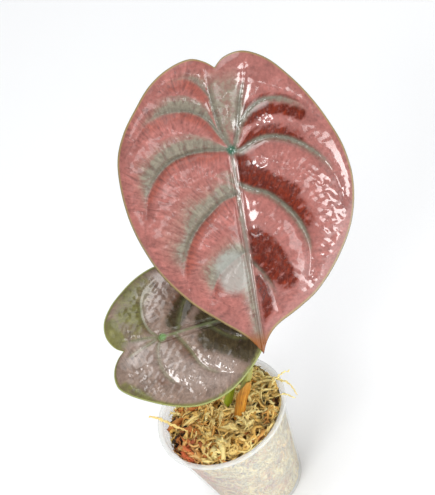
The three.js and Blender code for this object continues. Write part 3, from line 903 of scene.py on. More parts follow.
def small_tones(blade, x, y, edge):
    """The small blade's colour masks, with painted shade from the slopes and the painted shadow of the large
    leaf.
    """
    near = np.abs(blade.nearest_vein(x, y)[0])
    middle = line_distance(x, y, blade.midrib)[0]
    wander = 1 + 0.35 * ripple(x, y, 14, 21)
    sage_and_shade = np.maximum(0.45 * bell(near, 1.2 * wander), 0.9 * rise(edge, 0.93, 0.98))
    sage_and_shade = np.maximum(sage_and_shade, 0.9 * strokes(x, y, SMALL_OLIVE) * wander)
    slope_y = blade.sample(x, y, blade.slopes[1])
    # Red: a darker brown-pink read from the slopes on the flanks that face down, as painted shade, broken up
    # at random.
    red = np.clip(0.7 * rise(slope_y, 0, 0.06) + 0.35 * ripple(x, y, 12, 22), 0, 1)
    shine = strokes(x, y, SMALL_SHINE)
    return {
        "flow": flow_attribute(blade, x, y),
        "tone": np.column_stack([np.clip(sage_and_shade, 0, 1), red, strokes(x, y, SMALL_PAINTED_SHADOW)]),
        # The third spot channel lays painted sheen where the blade shines.
        "spot": np.column_stack([(0.25 + 0.6 * shine) * (1 - rise(edge, 0.8, 0.95)), 0.5 + 0.5 * shine,
                                 0.45 * shine]),
        "edge": np.column_stack([edge, middle, bell(np.hypot(x, y), 2.6) - rise(-y, 58, 64)]),
    }


def leaf_face_skin(name, settings, margin, tip, joint, satin, gloss):
    """The upper skin: blended from the masks, which paint light and shade, with hair-fine lines across each
    cushion.
    """
    skin = Skin(name)
    sage_and_shade, red, wine_and_shade = skin.attribute("tone")
    along, across, calm = skin.attribute("flow")
    shine, crinkle, painted_sheen = skin.attribute("spot")
    edge, middle, mark = skin.attribute("edge")
    lines = skin.noise(1.0, 3, skin.vector(along * 0.6, across * 0.12, 0.0), 0.6, 0.5)
    lines = 0.5 + (lines - 0.5) * calm
    grain = skin.noise(800, 3)
    mottle = skin.noise(300, 2)
    cloud = skin.noise(50, 4)
    fold = (skin.noise(330, 2, distortion=0.8) - 0.5).maths("ABSOLUTE")
    pores = skin.noise(620, 2)
    x, y, z = skin.split(skin.place)
    # Diagonal streaks of painted highlight on fine wrinkles, laid in the dark red.
    glint_streaks = skin.noise(1, 4, skin.vector((x + z) * 150, y * 150, (x - z) * 620), 0.6, 0.8)
    stir = (lines - 0.5) * 2.0 + (mottle - 0.5) * 1.6 + (pores - 0.5) * 1.8 + (grain - 0.5) * 1.2
    base = skin.mix(cloud.step(0.35, 0.7), settings.cushion, shaded(settings.cushion, 0.84))
    # Blush: on the large leaf, red laid as painted light on the flanks that face up; on the small leaf,
    # painted shade on the flanks that face down.
    base = skin.mix((red + stir * red * 0.7).step(0.05, 1.1), base, settings.blush)
    # Wine: dark red laid as painted shade, and on the small leaf the painted shadow of the large leaf.
    base = skin.mix((wine_and_shade * 1.2 + stir * 1.1 * wine_and_shade).step(0.08, 0.85), base,
                    skin.mix((glint_streaks.step(0.35, 0.75) * 0.55 + (lines - 0.5) * 0.6).clamp(),
                             settings.wine_and_shade, settings.glint_fleck))
    # Sage: the leaves' own grey-green and olive, and on the large leaf also painted shade on the flanks that
    # face down.
    base = skin.mix((sage_and_shade + stir * 0.6 * sage_and_shade).step(0.0, 1.0), base, settings.sage_and_shade)
    base = skin.scale(base, 0.9 + (lines - 0.5) * 1.5 + (mottle - 0.5) * 0.5 + (pores - 0.5) * 0.7)
    base = skin.mix((grain.step(0.55, 0.75) * 0.3).clamp(), base, shaded(settings.cushion, 0.45))
    inner = 1 - edge.step(0.55, 0.9)
    # Painted shade: the vein line colour darkens the furrows close over each vein.
    over = (1 + across / 2.4).clamp() * (0 - across).step(-0.1, 0.1)
    under = (1 - across / 0.6).clamp() * across.step(-0.1, 0.1)
    base = skin.mix(((over * 0.55 + under * 0.5) * inner).clamp(), base, settings.line)
    # Silver: painted sheen.
    base = skin.mix((painted_sheen + stir * 0.4 * painted_sheen).step(0.1, 1.0) * 0.8, base, settings.painted_sheen)
    base = skin.mix((1 - middle / 1.1).clamp() * 0.7, base, settings.midrib)
    base = skin.mix(mark.step(0.3, 0.9), base, joint)
    base = skin.mix(edge.step(0.975, 0.992), base, margin)
    base = skin.mix((0 - mark).clamp(), base, tip)
    height = lines * 0.35 + mottle * 0.35 + pores * 0.14 + fold * crinkle * 1.5
    return skin.finish(
        Base_Color=base,
        Roughness=satin + (gloss - satin) * shine + wine_and_shade * 0.12 + (lines - 0.5) * 0.2,
        Coat_Weight=shine,
        Coat_Roughness=0.09,
        Coat_IOR=1.8,
        Normal=skin.bump(height, 0.7),
        Specular_IOR_Level=0.2,
    )


def leaf_back_skin(name, dark, pale):
    """The under skin: matt, with paler raised veins."""
    skin = Skin(name)
    _, across, _ = skin.attribute("flow")
    _, middle, _ = skin.attribute("edge")
    cloud = skin.noise(60, 4)
    base = skin.mix(cloud.step(0.3, 0.75), dark, shaded(dark, 1.35))
    vein = (1 - across.maths("ABSOLUTE") / 1.4).clamp().maths("MAXIMUM", (1 - middle / 2.2).clamp())
    base = skin.mix(vein.step(0.2, 0.9), base, pale)
    net = skin.cells(380)
    height = cloud * 0.5 + net.step(0, 0.3) * 0.3
    return skin.finish(Base_Color=base, Roughness=0.5 + cloud * 0.15, Normal=skin.bump(height, 0.4))


# ---- Rods ----

def sweep(path, radii, sides, squash=1.0):
    """Rings of points round a path, with the two ends closed by a point."""
    path = np.asarray(path, float)
    tangents = np.gradient(path, axis=0)
    tangents /= np.linalg.norm(tangents, axis=1)[:, None]
    normal = np.cross(tangents[0], (0, 0, 1) if abs(tangents[0][2]) < 0.9 else (1, 0, 0))
    turns = full_turn(sides)
    rings = []
    for spot, tangent, reach in zip(path, tangents, radii):
        normal = normal - tangent * np.dot(normal, tangent)
        normal = normal / np.linalg.norm(normal)
        other = np.cross(tangent, normal)
        rings.append(spot + (reach * np.cos(turns))[:, None] * normal
                     + (squash * reach * np.sin(turns))[:, None] * other)
    return closed_body(rings, path[0], path[-1])


def stalk_line(settings, route):
    """A stalk's middle line, up to the underside of its blade."""
    points = [(x, y, LIP + z) for x, y, z in route]
    for depth in (STALK_APPROACH, STALK_APPROACH / 2, 0):
        points.append(tuple(to_world(settings, np.array([[0, 0, -STALK_END - depth]]))[0]))
    return smooth_line(points, STALK_STEPS)


def stalk_skin(name, foot, top):
    """Smooth green skin with fine lines along the stalk and a few dark flecks."""
    skin = Skin(name)
    along, around, _ = skin.attribute("flow")
    streaks = skin.noise(1, 4, skin.vector(along * 0.5, around * 9, 0.0), 0.6)
    flecks = skin.noise(700, 2)
    base = skin.mix(along, foot, top)
    base = skin.mix(streaks.step(0.4, 0.7) * 0.4, base, shaded(foot, 1.5))
    base = skin.mix(flecks.step(0.62, 0.72) * 0.5, base, shaded(foot, 0.45))
    return skin.finish(Base_Color=base, Roughness=0.3 + streaks * 0.15, Coat_Weight=0.25, Coat_Roughness=0.2,
                       Normal=skin.bump(streaks, 0.25), Subsurface_Weight=0.1,
                       Subsurface_Radius=(0.003, 0.003, 0.001))


def make_stalk(name, settings, route, material):
    """A tapering stalk with a groove at its foot and a swollen joint at its top."""
    share = np.linspace(0, 1, STALK_STEPS)
    foot = settings.stalk_radius / MM
    top = settings.stalk_top_radius / MM
    turns = full_turn(STALK_SIDES)
    radii = []
    for u in share:
        radius = foot + (top - foot) * u
        radius *= 1 + 0.12 * bell(u - 1, 0.04) + 0.06 * math.sin(9 * u + 1)
        groove = 1 - 0.1 * (1 - u) * np.exp(-((turns - math.pi) / 0.5) ** 2)
        radii.append(radius * groove * (1 + 0.012 * np.cos(11 * turns + 3 * u)))
    points, faces = sweep(stalk_line(settings, route), radii, STALK_SIDES)
    along = np.concatenate([[0], np.repeat(share, STALK_SIDES), [1]])
    around = np.concatenate([[0], np.tile(np.abs(turns / math.pi - 1), STALK_STEPS), [0]])
    flow = np.column_stack([along, around, 0 * along])
    return make_piece(name, points, faces, [material], attributes={"flow": flow})


def sheath_skin():
    """Papery orange-brown skin, ribbed lengthwise, paler along its torn rim."""
    skin = Skin("dry_sheath")
    along, around, _ = skin.attribute("flow")
    ribs = skin.noise(1, 3, skin.vector(along * 2.5, around * 22, 0.3), 0.6)
    cloud = skin.noise(260, 3)
    base = skin.ramp(ribs, [(0.3, srgb(132, 72, 4)), (0.5, srgb(188, 118, 12)), (0.7, srgb(222, 160, 56))])
    base = skin.mix(cloud.step(0.55, 0.75) * 0.6, base, srgb(96, 46, 14))
    base = skin.mix(along.step(0.75, 1.0) * 0.5, base, srgb(186, 142, 60))
    return skin.finish(Base_Color=base, Roughness=0.62, Normal=skin.bump(ribs + cloud * 0.4, 0.5),
                       Subsurface_Weight=0.05)


def make_sheath(settings, material):
    """A wrap round the stalk's foot that is open on one side and runs up to a point on the other."""
    line = stalk_line(settings, LARGE_STALK)
    rows = 36
    columns = 30
    wall = 0.4
    first, low_top, high_top = 0.045, 0.12, 0.185       # in shares of the stalk's length
    opening = math.radians(28)
    turns = np.linspace(-math.pi + opening, math.pi - opening, columns)
    tops = low_top + (high_top - low_top) * np.cos(turns / 2) ** 3 + 0.003 * np.sin(9 * turns)
    share = np.linspace(0, 1, rows)[:, None]
    spots = first + share * (tops[None, :] - first)
    tangents = np.gradient(line, axis=0)
    tangents /= np.linalg.norm(tangents, axis=1)[:, None]
    index = spots * (len(line) - 1)
    centre, tangent = (
        np.stack([np.interp(index, np.arange(len(line)), values[:, k]) for k in range(3)], axis=-1)
        for values in (line, tangents))
    front = np.array([0.35, -0.8, 0.3])
    front = front - tangent * np.sum(front * tangent, axis=-1, keepdims=True)
    front /= np.linalg.norm(front, axis=-1, keepdims=True)
    side = np.cross(tangent, front)
    stalk = (settings.stalk_radius + (settings.stalk_top_radius - settings.stalk_radius) * spots) / MM
    flare = 0.2 + 0.4 * rise(share, 0.7, 1) + 0.15 * np.sin(6 * turns)[None, :] * share
    away = np.cos(turns)[None, :, None] * front + np.sin(turns)[None, :, None] * side
    inner, outer = (centre + (stalk + flare + extra)[..., None] * away for extra in (0.0, wall))
    points = np.concatenate([outer, inner[:, ::-1]], axis=1).reshape(-1, 3)
    size = 2 * columns
    faces = ring_faces(rows, size).tolist()
    for row, flip in ((0, True), (rows - 1, False)):
        for j in range(columns - 1):
            quad = [row * size + k for k in (j, j + 1, size - 2 - j, size - 1 - j)]
            faces.append(quad[::-1] if flip else quad)
    around = np.concatenate([turns, turns[::-1]]) / math.pi
    flow = np.column_stack([np.repeat(share[:, 0], size), np.tile(around, rows), np.zeros(rows * size)])
    return make_piece("sheath", points, faces, [material], attributes={"flow": flow})


# ---- Pot ----

WALL_TOP_RADIUS = LIP_RADIUS - LIP_WIDTH


def pot_radius(z):
    """The outside radius of the pot's wall at a height."""
    return POT_BASE_RADIUS + (WALL_TOP_RADIUS - POT_BASE_RADIUS) * z / LIP


def plastic_skin(settings):
    """Milky clear plastic with faint upright streaks, a few scuffs and a denser lip."""
    skin = Skin("clear_plastic")
    wave = skin.noise(45, 2)
    scuff = skin.noise(1400, 2, roughness=0.7)
    x, y, z = skin.split(skin.place)
    streaks = skin.noise(1, 3, skin.vector(x * 300, y * 300, z * 25), 0.6)
    lip = (z / MM).step(LIP - LIP_DEPTH - 0.4, LIP - LIP_DEPTH)
    cover = (settings.haze - 0.04 + wave * 0.08 + streaks.step(0.5, 0.8) * 0.08
             + scuff.step(0.6, 0.8) * 0.05 + lip * 0.2)
    base = skin.mix(wave, settings.plastic, shaded(settings.plastic, 0.93))
    return skin.finish(Base_Color=base, Roughness=0.16 + scuff * 0.14, Alpha=cover.clamp(),
                       Normal=skin.bump(wave, 0.8), Coat_Weight=0.4, Coat_Roughness=0.06)


def make_pot(settings):
    """A thin pot with a rolled lip and a stepped foot, before its drain holes."""
    foot = POT_BASE_RADIUS
    rim = LIP_RADIUS
    under = LIP - LIP_DEPTH
    outside = [(0, FOOT_RISE), (foot - 6, FOOT_RISE), (foot - 4.6, 0), (foot - 1.2, 0), (foot - 0.3, 0.35),
               (pot_radius(1.2), 1.2)]
    outside += [(pot_radius(z), z) for z in np.linspace(2.5, under - 1.2, 12)]
    outside += [(pot_radius(under) + 0.15, under - 0.3), (rim - 0.55, under), (rim - 0.1, under + 0.35),
                (rim, under + 0.9), (rim, LIP - 0.8), (rim - 0.3, LIP - 0.2), (rim - 0.8, LIP)]
    inner_top = WALL_TOP_RADIUS - POT_WALL
    inside = [(inner_top + 0.7, LIP - 0.15), (inner_top + 0.1, LIP - 0.7)]
    inside += [(pot_radius(z) - POT_WALL, z) for z in np.linspace(LIP - 3, POT_FLOOR + 1.2, 12)]
    inside += [(pot_radius(POT_FLOOR) - POT_WALL - 1, POT_FLOOR + 0.2), (foot - 4, POT_FLOOR + 0.1),
               (0, POT_FLOOR + 0.4)]
    profile = outside + inside
    turns = full_turn(POT_SIDES) + POT_TURN
    rings = []
    for radius, z in profile[1:-1]:
        ripples = 0.1 * math.sin(math.pi * z / LIP) * np.sin(3 * turns + 0.05 * z) + 0.04 * np.sin(17 * turns)
        rings.append(ring(radius + ripples * min(1, z / 12) * (radius < rim - 0.6), turns, z))
    points, faces = closed_body(rings, (0, 0, profile[0][1]), (0, 0, profile[-1][1]))
    return make_piece("nursery_pot", points, faces, [plastic_skin(settings)])


def drill_drains(pot):
    """Cuts the drain holes through the pot's floor."""
    points = []
    faces = []
    for i in range(DRAIN_COUNT):
        turn = 2 * math.pi * (i + 0.5) / DRAIN_COUNT
        x = DRAIN_RING_RADIUS * math.cos(turn)
        y = DRAIN_RING_RADIUS * math.sin(turn)
        rod, rod_faces = sweep([(x, y, -3), (x, y, 0), (x, y, 5)], [DRAIN_RADIUS] * 3, DRAIN_SIDES)
        faces += [[index + len(points) for index in face] for face in rod_faces]
        points += rod.tolist()
    cutter = make_piece("drains", points, faces)
    cut = pot.modifiers.new("drains", "BOOLEAN")
    cut.operation = "DIFFERENCE"
    cut.solver = "EXACT"
    cut.object = cutter
    pot.data = modified_mesh(pot)
    bpy.data.objects.remove(cutter)


# ---- Moss ----

def bed_radius(z):
    """The radius of the moss at a height."""
    return pot_radius(z) - POT_WALL - BED_GAP


def bed_height(x, y):
    """Height of the moss before its lumps."""
    across = (x * math.cos(BED_LOW_BEARING) + y * math.sin(BED_LOW_BEARING)) / LIP_RADIUS
    out = np.hypot(x, y) / LIP_RADIUS
    drop = BED_HIGH_DROP + (BED_LOW_DROP - BED_HIGH_DROP) * (across + 1) / 2
    return LIP - drop + BED_MOUND * (1 - out * out)


def moss_skin(name, settings, depth=0.0, hollow_shade=0.0):
    """Moss strands: each strand has its own tint, from straw to rust, with darker specks.

    Depth moves every tint towards the shade colour, as painted shade for the deeper layers and the body; the
    last argument sets how dark the painted shade is in the low places.
    """
    skin = Skin(name)
    tint = Value(skin, skin.node("ShaderNodeAttribute", {"attribute_name": "tint"}).outputs["Fac"])
    x, y, z = skin.split(skin.place)
    cloud = skin.noise(60, 3)
    speck = skin.noise(1500, 3, roughness=0.7)
    lean = (tint * 0.85 - 0.1 + (cloud - 0.5) * 0.7 - (x / MM) * 0.006 + depth).clamp()
    base = skin.ramp(lean, [(0.0, settings.straw), (0.55, settings.amber), (0.8, settings.rust),
                            (1.0, settings.shade)])
    off_x = x / MM - BLUSH_SPOT[0]
    off_y = y / MM - BLUSH_SPOT[1]
    near = (1 - (off_x * off_x + off_y * off_y) / BLUSH_REACH_SQUARED).clamp()
    base = skin.mix(near * (0.35 + tint * 0.6), base, settings.blush)
    base = skin.mix(speck.step(0.5, 0.75) * 0.35, base, shaded(settings.amber, 0.5))
    # Painted shade: strands lying low in the bed are darkened.
    if hollow_shade:
        across = x * (math.cos(BED_LOW_BEARING) / MM) + y * (math.sin(BED_LOW_BEARING) / MM)
        fall = across * ((BED_LOW_DROP - BED_HIGH_DROP) / 2 / LIP_RADIUS)
        dome = (x * x + y * y) * (BED_MOUND / (LIP_RADIUS * MM) ** 2)
        above = z / MM + fall + dome - (LIP - (BED_LOW_DROP + BED_HIGH_DROP) / 2 + BED_MOUND)
        base = skin.scale(base, 1 - hollow_shade * (1 - above.step(-2.2, 1.6)))
    return skin.finish(Base_Color=base, Roughness=0.75, Normal=skin.bump(speck, 0.3), Subsurface_Weight=0.08,
                       Subsurface_Radius=(0.003, 0.002, 0.001))


def make_bed(settings):
    """The body of the moss: a lumpy filling, painted dark as the shade between its strands, mostly hidden
    under them.
    """
    sides = 120
    low = BED_FLOOR + 0.2
    shoulder = 55                       # where it turns in from the wall
    widest = bed_radius(60) - 1.4
    turns = full_turn(sides)
    rings = []
    for z in np.linspace(low, shoulder, 22):
        rough = bed_radius(z) - 0.9 + 0.6 * ripple(20 * turns, np.full(sides, z), 9, 31)
        rings.append(ring(rough, turns, z))
    for share in np.linspace(1, 0.04, 26):
        reach = share * widest
        x = reach * np.cos(turns)
        y = reach * np.sin(turns)
        z = bed_height(x, y) - BODY_SINK + 1.1 * ripple(x, y, 9, 32) - 2.5 * rise(share, 0.93, 1)
        rings.append(ring(reach, turns, z))
    points, faces = closed_body(rings, (0, 0, low), rings[-1].mean(axis=0))
    return make_piece("moss_body", points, faces, [moss_skin("moss_body", settings, 0.75)])


def strand_shape(chance, reach, width):
    """One curly flattened strand with a few thorn-like side shoots, as points and faces."""
    steps = 11
    thorn_faces = ((1, 0, 3), (2, 1, 3), (0, 2, 3), (0, 1, 2))
    bend = chance.uniform(-3.4, 3.4)
    swing = chance.uniform(-1.6, 1.6)
    lift = chance.uniform(0.05, 0.3)
    share = np.linspace(0, 1, steps)
    heading = bend * (share - 0.5) + swing * np.sin(2 * math.pi * share)
    step = reach / (steps - 1)
    x = np.cumsum(np.cos(heading)) * step
    y = np.cumsum(np.sin(heading)) * step
    z = lift * reach * np.sin(math.pi * share * chance.uniform(0.8, 1.6))
    path = np.column_stack([x - x.mean(), y - y.mean(), z - 0.2 * reach * lift])
    radii = width / 2 * (0.35 + 0.65 * np.sin(math.pi * np.clip(share + 0.08, 0, 1)))
    radii *= chance.uniform(0.5, 1.35, steps)
    points, faces = sweep(path, radii, 3, 0.7)
    for _ in range(chance.integers(4, 7)):
        at = chance.integers(2, steps - 2)
        turn = heading[at] + chance.choice([-1, 1]) * chance.uniform(0.5, 1.2)
        shoot = chance.uniform(0.1, 0.24) * reach
        tip = path[at] + shoot * np.array([math.cos(turn), math.sin(turn), chance.uniform(-0.2, 0.5)])
        across = 0.4 * width * np.array([-math.sin(turn), math.cos(turn), 0])
        thorn = [path[at] + across, path[at] - across, path[at] + [0, 0, 0.35 * width], tip]
        faces += [[index + len(points) for index in face] for face in thorn_faces]
        points = np.vstack([points, thorn])
    return points, faces


def strand_kit(seed):
    """A hidden collection of strand shapes to scatter."""
    chance = np.random.default_rng(seed)
    kit = bpy.data.collections.new("strand_kit")
    for index in range(STRAND_KINDS):
        shape = strand_shape(chance, chance.uniform(*STRAND_LENGTHS), chance.uniform(*STRAND_WIDTHS))
        strand = make_piece(f"strand_kind_{index}", *shape)
        bpy.context.scene.collection.objects.unlink(strand)
        kit.objects.link(strand)
    return kit


SCATTER_INPUTS = {
    "Geometry": "Geometry", "Count": "Float", "Seed": "Int", "Shapes": "Collection", "Smallest": "Float",
    "Largest": "Float", "Tilt": "Float", "Clumping": "Float", "Material": "Material",
}


def scatter_tree():
    """Scatters shapes over a surface, lying along it, each with its own turn, size and tint."""
    group = bpy.data.node_groups.new("scatter_strands", "GeometryNodeTree")
    for name, kind in SCATTER_INPUTS.items():
        group.interface.new_socket(name, in_out="INPUT", socket_type=f"NodeSocket{kind}")
    group.interface.new_socket("Geometry", in_out="OUTPUT", socket_type="NodeSocketGeometry")
    tree = Tree(group)
    given = tree.node("NodeGroupInput").outputs
    seed, count, clumping, tilt = (Value(tree, given[key]) for key in ("Seed", "Count", "Clumping", "Tilt"))
    area = tree.node("GeometryNodeAttributeStatistic", {"domain": "FACE"}, {
        "Geometry": given["Geometry"], "Attribute": tree.node("GeometryNodeInputMeshFaceArea").outputs[0]})
    cloud = Value(tree, tree.node("ShaderNodeTexNoise", {}, {"Scale": 85.0, "Detail": 1.0}).outputs[0])
    kept = (1 - clumping * (1 - cloud.step(0.44, 0.56))).clamp()
    points = tree.node("GeometryNodeDistributePointsOnFaces", {}, {
        "Mesh": given["Geometry"], "Density": kept * (count / area.outputs["Sum"]), "Seed": seed})

    def chance(low, high, salt):
        """A number that differs from strand to strand."""
        made = tree.node("FunctionNodeRandomValue", {"data_type": "FLOAT"}, {"Seed": seed + salt})
        ends = [socket for socket in made.inputs if socket.enabled]
        tree.feed(ends[0], low)
        tree.feed(ends[1], high)
        return next(socket for socket in made.outputs if socket.enabled)

    euler = tree.node("ShaderNodeCombineXYZ", {}, {
        0: chance(tilt * -1.0, tilt, 11), 1: chance(tilt * -1.0, tilt, 12), 2: chance(0.0, 2 * math.pi, 13)})
    turn = tree.node("FunctionNodeEulerToRotation", {}, {0: euler.outputs[0]})
    aimed = tree.node("FunctionNodeRotateRotation", {"rotation_space": "LOCAL"}, {
        "Rotation": points.outputs["Rotation"], "Rotate By": turn.outputs[0]})
    shapes = tree.node("GeometryNodeCollectionInfo", {}, {
        "Collection": given["Shapes"], "Separate Children": True, "Reset Children": True})
    placed = tree.node("GeometryNodeInstanceOnPoints", {}, {
        "Points": points.outputs["Points"], "Instance": shapes.outputs[0], "Pick Instance": True,
        "Rotation": aimed.outputs[0], "Scale": chance(given["Smallest"], given["Largest"], 14)})
    tinted = tree.node("GeometryNodeStoreNamedAttribute", {"data_type": "FLOAT", "domain": "INSTANCE"}, {
        "Geometry": placed.outputs[0], "Name": "tint", "Value": chance(0.0, 1.0, 15)})
    real = tree.node("GeometryNodeRealizeInstances", {}, {0: tinted.outputs[0]})
    coloured = tree.node("GeometryNodeSetMaterial", {}, {
        "Geometry": real.outputs[0], "Material": given["Material"]})
    tree.node("NodeGroupOutput", {}, {0: coloured.outputs[0]})
    return group


def scatter(name, ground, group, values):
    """Runs the scatter on a surface and returns the result as a plain mesh piece."""
    run = ground.modifiers.new("scatter", "NODES")
    run.node_group = group
    for item in group.interface.items_tree:
        if item.in_out == "INPUT" and item.name in values:
            run[item.identifier] = values[item.name]
    mesh = modified_mesh(ground)
    mesh.name = name
    mesh.shade_smooth()
    return add_object(name, mesh)


def ease(values, limit, room):
    """Presses values that come near a limit back below it, without folding them over."""
    past = np.maximum(values - limit + room, 0)
    return np.where(past > 0, limit - room * np.exp(-past / room), values)


def keep_in_pot(piece, ceiling):
    """Presses strands back inside the pot's wall and floor, and below a ceiling."""
    room = 1.5
    points = points_of(piece)
    reach = np.hypot(points[:, 0], points[:, 1])
    limit = pot_radius(np.minimum(points[:, 2], LIP)) - POT_WALL - STRAND_GAP
    points[:, :2] *= (ease(reach, limit, room) / np.maximum(reach, 0.01))[:, None]
    points[:, 2] = -ease(-ease(points[:, 2], ceiling, room), -POT_FLOOR - 0.6, 1)
    move_points(piece, points)


def make_top_ground(sink=0.0):
    """The surface on top of the moss, to scatter strands on."""
    turns = full_turn(GROUND_SIDES)
    widest = bed_radius(62) - 1.5
    rings = []
    for share in np.linspace(1, 0.02, GROUND_RINGS):
        x = share * widest * np.cos(turns)
        y = share * widest * np.sin(turns)
        rings.append(np.column_stack([x, y, bed_height(x, y) - 0.6 - sink + 1.2 * ripple(x, y, 9, 32)]))
    return make_ground("top_ground", rings)


def make_side_ground():
    """The surface of the moss along the wall, to scatter strands on."""
    turns = full_turn(GROUND_SIDES)
    low = BED_FLOOR + 1
    top = bed_height(bed_radius(LIP) * np.cos(turns), bed_radius(LIP) * np.sin(turns)) - 1
    rings = []
    for share in np.linspace(0, 1, GROUND_RINGS):
        level = low + (top - low) * share
        rings.append(ring(bed_radius(level) - 0.5, turns, level))
    return make_ground("side_ground", rings)


def make_ground(name, rings):
    """An open surface through rings of points."""
    return make_piece(name, np.vstack(rings), ring_faces(GROUND_RINGS, GROUND_SIDES).tolist())


def fray(node, index, skin):
    """A frayed copy of a CAD strand."""
    mesh = frame["nodes"][node].data.copy()
    mesh.name = f"frayed_{node}"
    mesh.materials.clear()
    mesh.materials.append(skin)
    piece = add_object(mesh.name, mesh)
    weld = piece.modifiers.new("weld", "WELD")
    weld.merge_threshold = 0.01 * MM
    fine = piece.modifiers.new("fine", "SUBSURF")
    fine.levels = 2
    fine.render_levels = 2
    piece.data = modified_mesh(piece)
    points = points_of(piece)
    shift = np.column_stack([ripple(points[:, a] + 3 * points[:, b], points[:, c], 4.5, 40 + index + k)
                             for k, (a, b, c) in enumerate(((1, 2, 0), (2, 0, 1), (0, 1, 2)))])
    move_points(piece, points + 0.35 * shift)
    tint = piece.data.attributes.new("tint", "FLOAT", "POINT")
    tint.data.foreach_set("value", np.full(len(points), 0.15 + 0.6 * ((index * 0.37) % 1), np.float32))
    piece.data.shade_smooth()
    return piece


# ---- Operators ----

class ALOCASIA_OT_pot(bpy.types.Operator):
    """Build the clear pot with its drain holes"""
    bl_idname = "alocasia.pot"
    bl_label = "Pot"

    def execute(self, context):
        pot = make_pot(context.scene.alocasia_pot)
        drill_drains(pot)
        settle(pot, "clear_plastic", "pot")
        return {"FINISHED"}


class ALOCASIA_OT_moss(bpy.types.Operator):
    """Build the bed of moss and scatter its strands"""
    bl_idname = "alocasia.moss"
    bl_label = "Moss"

    def execute(self, context):
        settings = context.scene.alocasia_pot
        settle(make_bed(settings), "moss", "moss_bed")
        group = scatter_tree()
        seed = settings.strand_seed
        kit = strand_kit(seed)
        # The lower layer is tinted towards the shade colour and both top layers are darkened in the hollows,
        # as painted shade.
        layers = (
            ("moss_under", make_top_ground(UNDER_SINK), moss_skin("deep_moss", settings, 0.3, 0.8), LIP + 3.5,
             {"Count": 0.35 * settings.top_strands, "Seed": seed, "Tilt": 0.25, "Clumping": 0.0}),
            ("moss_top", make_top_ground(), moss_skin("moss", settings, 0.0, 0.8), LIP + 3.5,
             {"Count": 0.45 * settings.top_strands, "Seed": seed, "Tilt": 0.8, "Clumping": 0.95}),
            ("moss_side", make_side_ground(), moss_skin("wall_moss", settings), LIP - 1,
             {"Count": 1.0 * settings.side_strands, "Seed": seed + 7, "Tilt": 0.12, "Clumping": 0.0}),
        )
        for name, ground, skin, ceiling, values in layers:
            piece = scatter(name, ground, group, {
                "Shapes": kit, "Material": skin, "Smallest": 0.6, "Largest": 1.15, **values})
            keep_in_pot(piece, ceiling)
            settle(piece, "moss")
            bpy.data.objects.remove(ground)
        for strand in list(kit.objects):
            bpy.data.objects.remove(strand)
        bpy.data.collections.remove(kit)
        return {"FINISHED"}


class ALOCASIA_OT_loose_strands(bpy.types.Operator):
    """Build the long loose strands of moss on the bed and over the lip"""
    bl_idname = "alocasia.loose_strands"
    bl_label = "Loose strands"

    def execute(self, context):
        names = sorted(name for name in frame["nodes"] if "strand" in name)
        skin = moss_skin("loose_moss", context.scene.alocasia_pot, -0.15)
        for index, name in enumerate(names):
            settle(fray(name, index, skin), "moss", name)
        return {"FINISHED"}


class ALOCASIA_OT_large_leaf(bpy.types.Operator):
    """Build the large leaf's blade"""
    bl_idname = "alocasia.large_leaf"
    bl_label = "Large leaf"

    def execute(self, context):
        settings = context.scene.alocasia_large_leaf
        blade = BladeMap(settings, LARGE_RIGHT, LARGE_LEFT, LARGE_VEINS, LARGE_MIDRIB_END, LARGE_CRINKLE,
                         smooth_side=0.65)
        face = leaf_face_skin("large_leaf_face", settings, margin=srgb(150, 128, 84), tip=srgb(131, 72, 10),
                              joint=srgb(40, 84, 62), satin=0.36, gloss=0.13)
        back = leaf_back_skin("large_leaf_back", srgb(104, 38, 48), srgb(150, 96, 84))
        piece = make_blade("large_blade", blade, large_tones, [face, back])
        settle(piece, "large_leaf", "large_leaf_blade")
        return {"FINISHED"}


class ALOCASIA_OT_small_leaf(bpy.types.Operator):
    """Build the small leaf's blade"""
    bl_idname = "alocasia.small_leaf"
    bl_label = "Small leaf"

    def execute(self, context):
        settings = context.scene.alocasia_small_leaf
        blade = BladeMap(settings, SMALL_RIGHT, SMALL_LEFT, SMALL_VEINS, SMALL_MIDRIB_END, SMALL_CRINKLE)
        face = leaf_face_skin("small_leaf_face", settings, margin=srgb(150, 156, 96), tip=srgb(110, 90, 30),
                              joint=srgb(90, 124, 66), satin=0.34, gloss=0.14)
        back = leaf_back_skin("small_leaf_back", srgb(96, 52, 48), srgb(140, 120, 84))
        piece = make_blade("small_blade", blade, small_tones, [face, back])
        settle(piece, "small_leaf", "small_leaf_blade")
        return {"FINISHED"}


class ALOCASIA_OT_stalks(bpy.types.Operator):
    """Build both leaves' stalks"""
    bl_idname = "alocasia.stalks"
    bl_label = "Stalks"

    def execute(self, context):
        scene = context.scene
        for leaf, settings, route, foot, top in (
                ("large", scene.alocasia_large_leaf, LARGE_STALK, srgb(150, 152, 60), srgb(150, 120, 76)),
                ("small", scene.alocasia_small_leaf, SMALL_STALK, srgb(150, 168, 30), srgb(140, 140, 60))):
            skin = stalk_skin(f"{leaf}_stalk", foot, top)
            settle(make_stalk(f"{leaf}_stalk", settings, route, skin), "stalk", f"{leaf}_leaf_petiole")
        return {"FINISHED"}


class ALOCASIA_OT_sheath(bpy.types.Operator):
    """Build the papery sheath round the large leaf's stalk"""
    bl_idname = "alocasia.sheath"
    bl_label = "Sheath"

    def execute(self, context):
        piece = make_sheath(context.scene.alocasia_large_leaf, sheath_skin())
        settle(piece, "dry_sheath", "leaf_sheath")
        return {"FINISHED"}


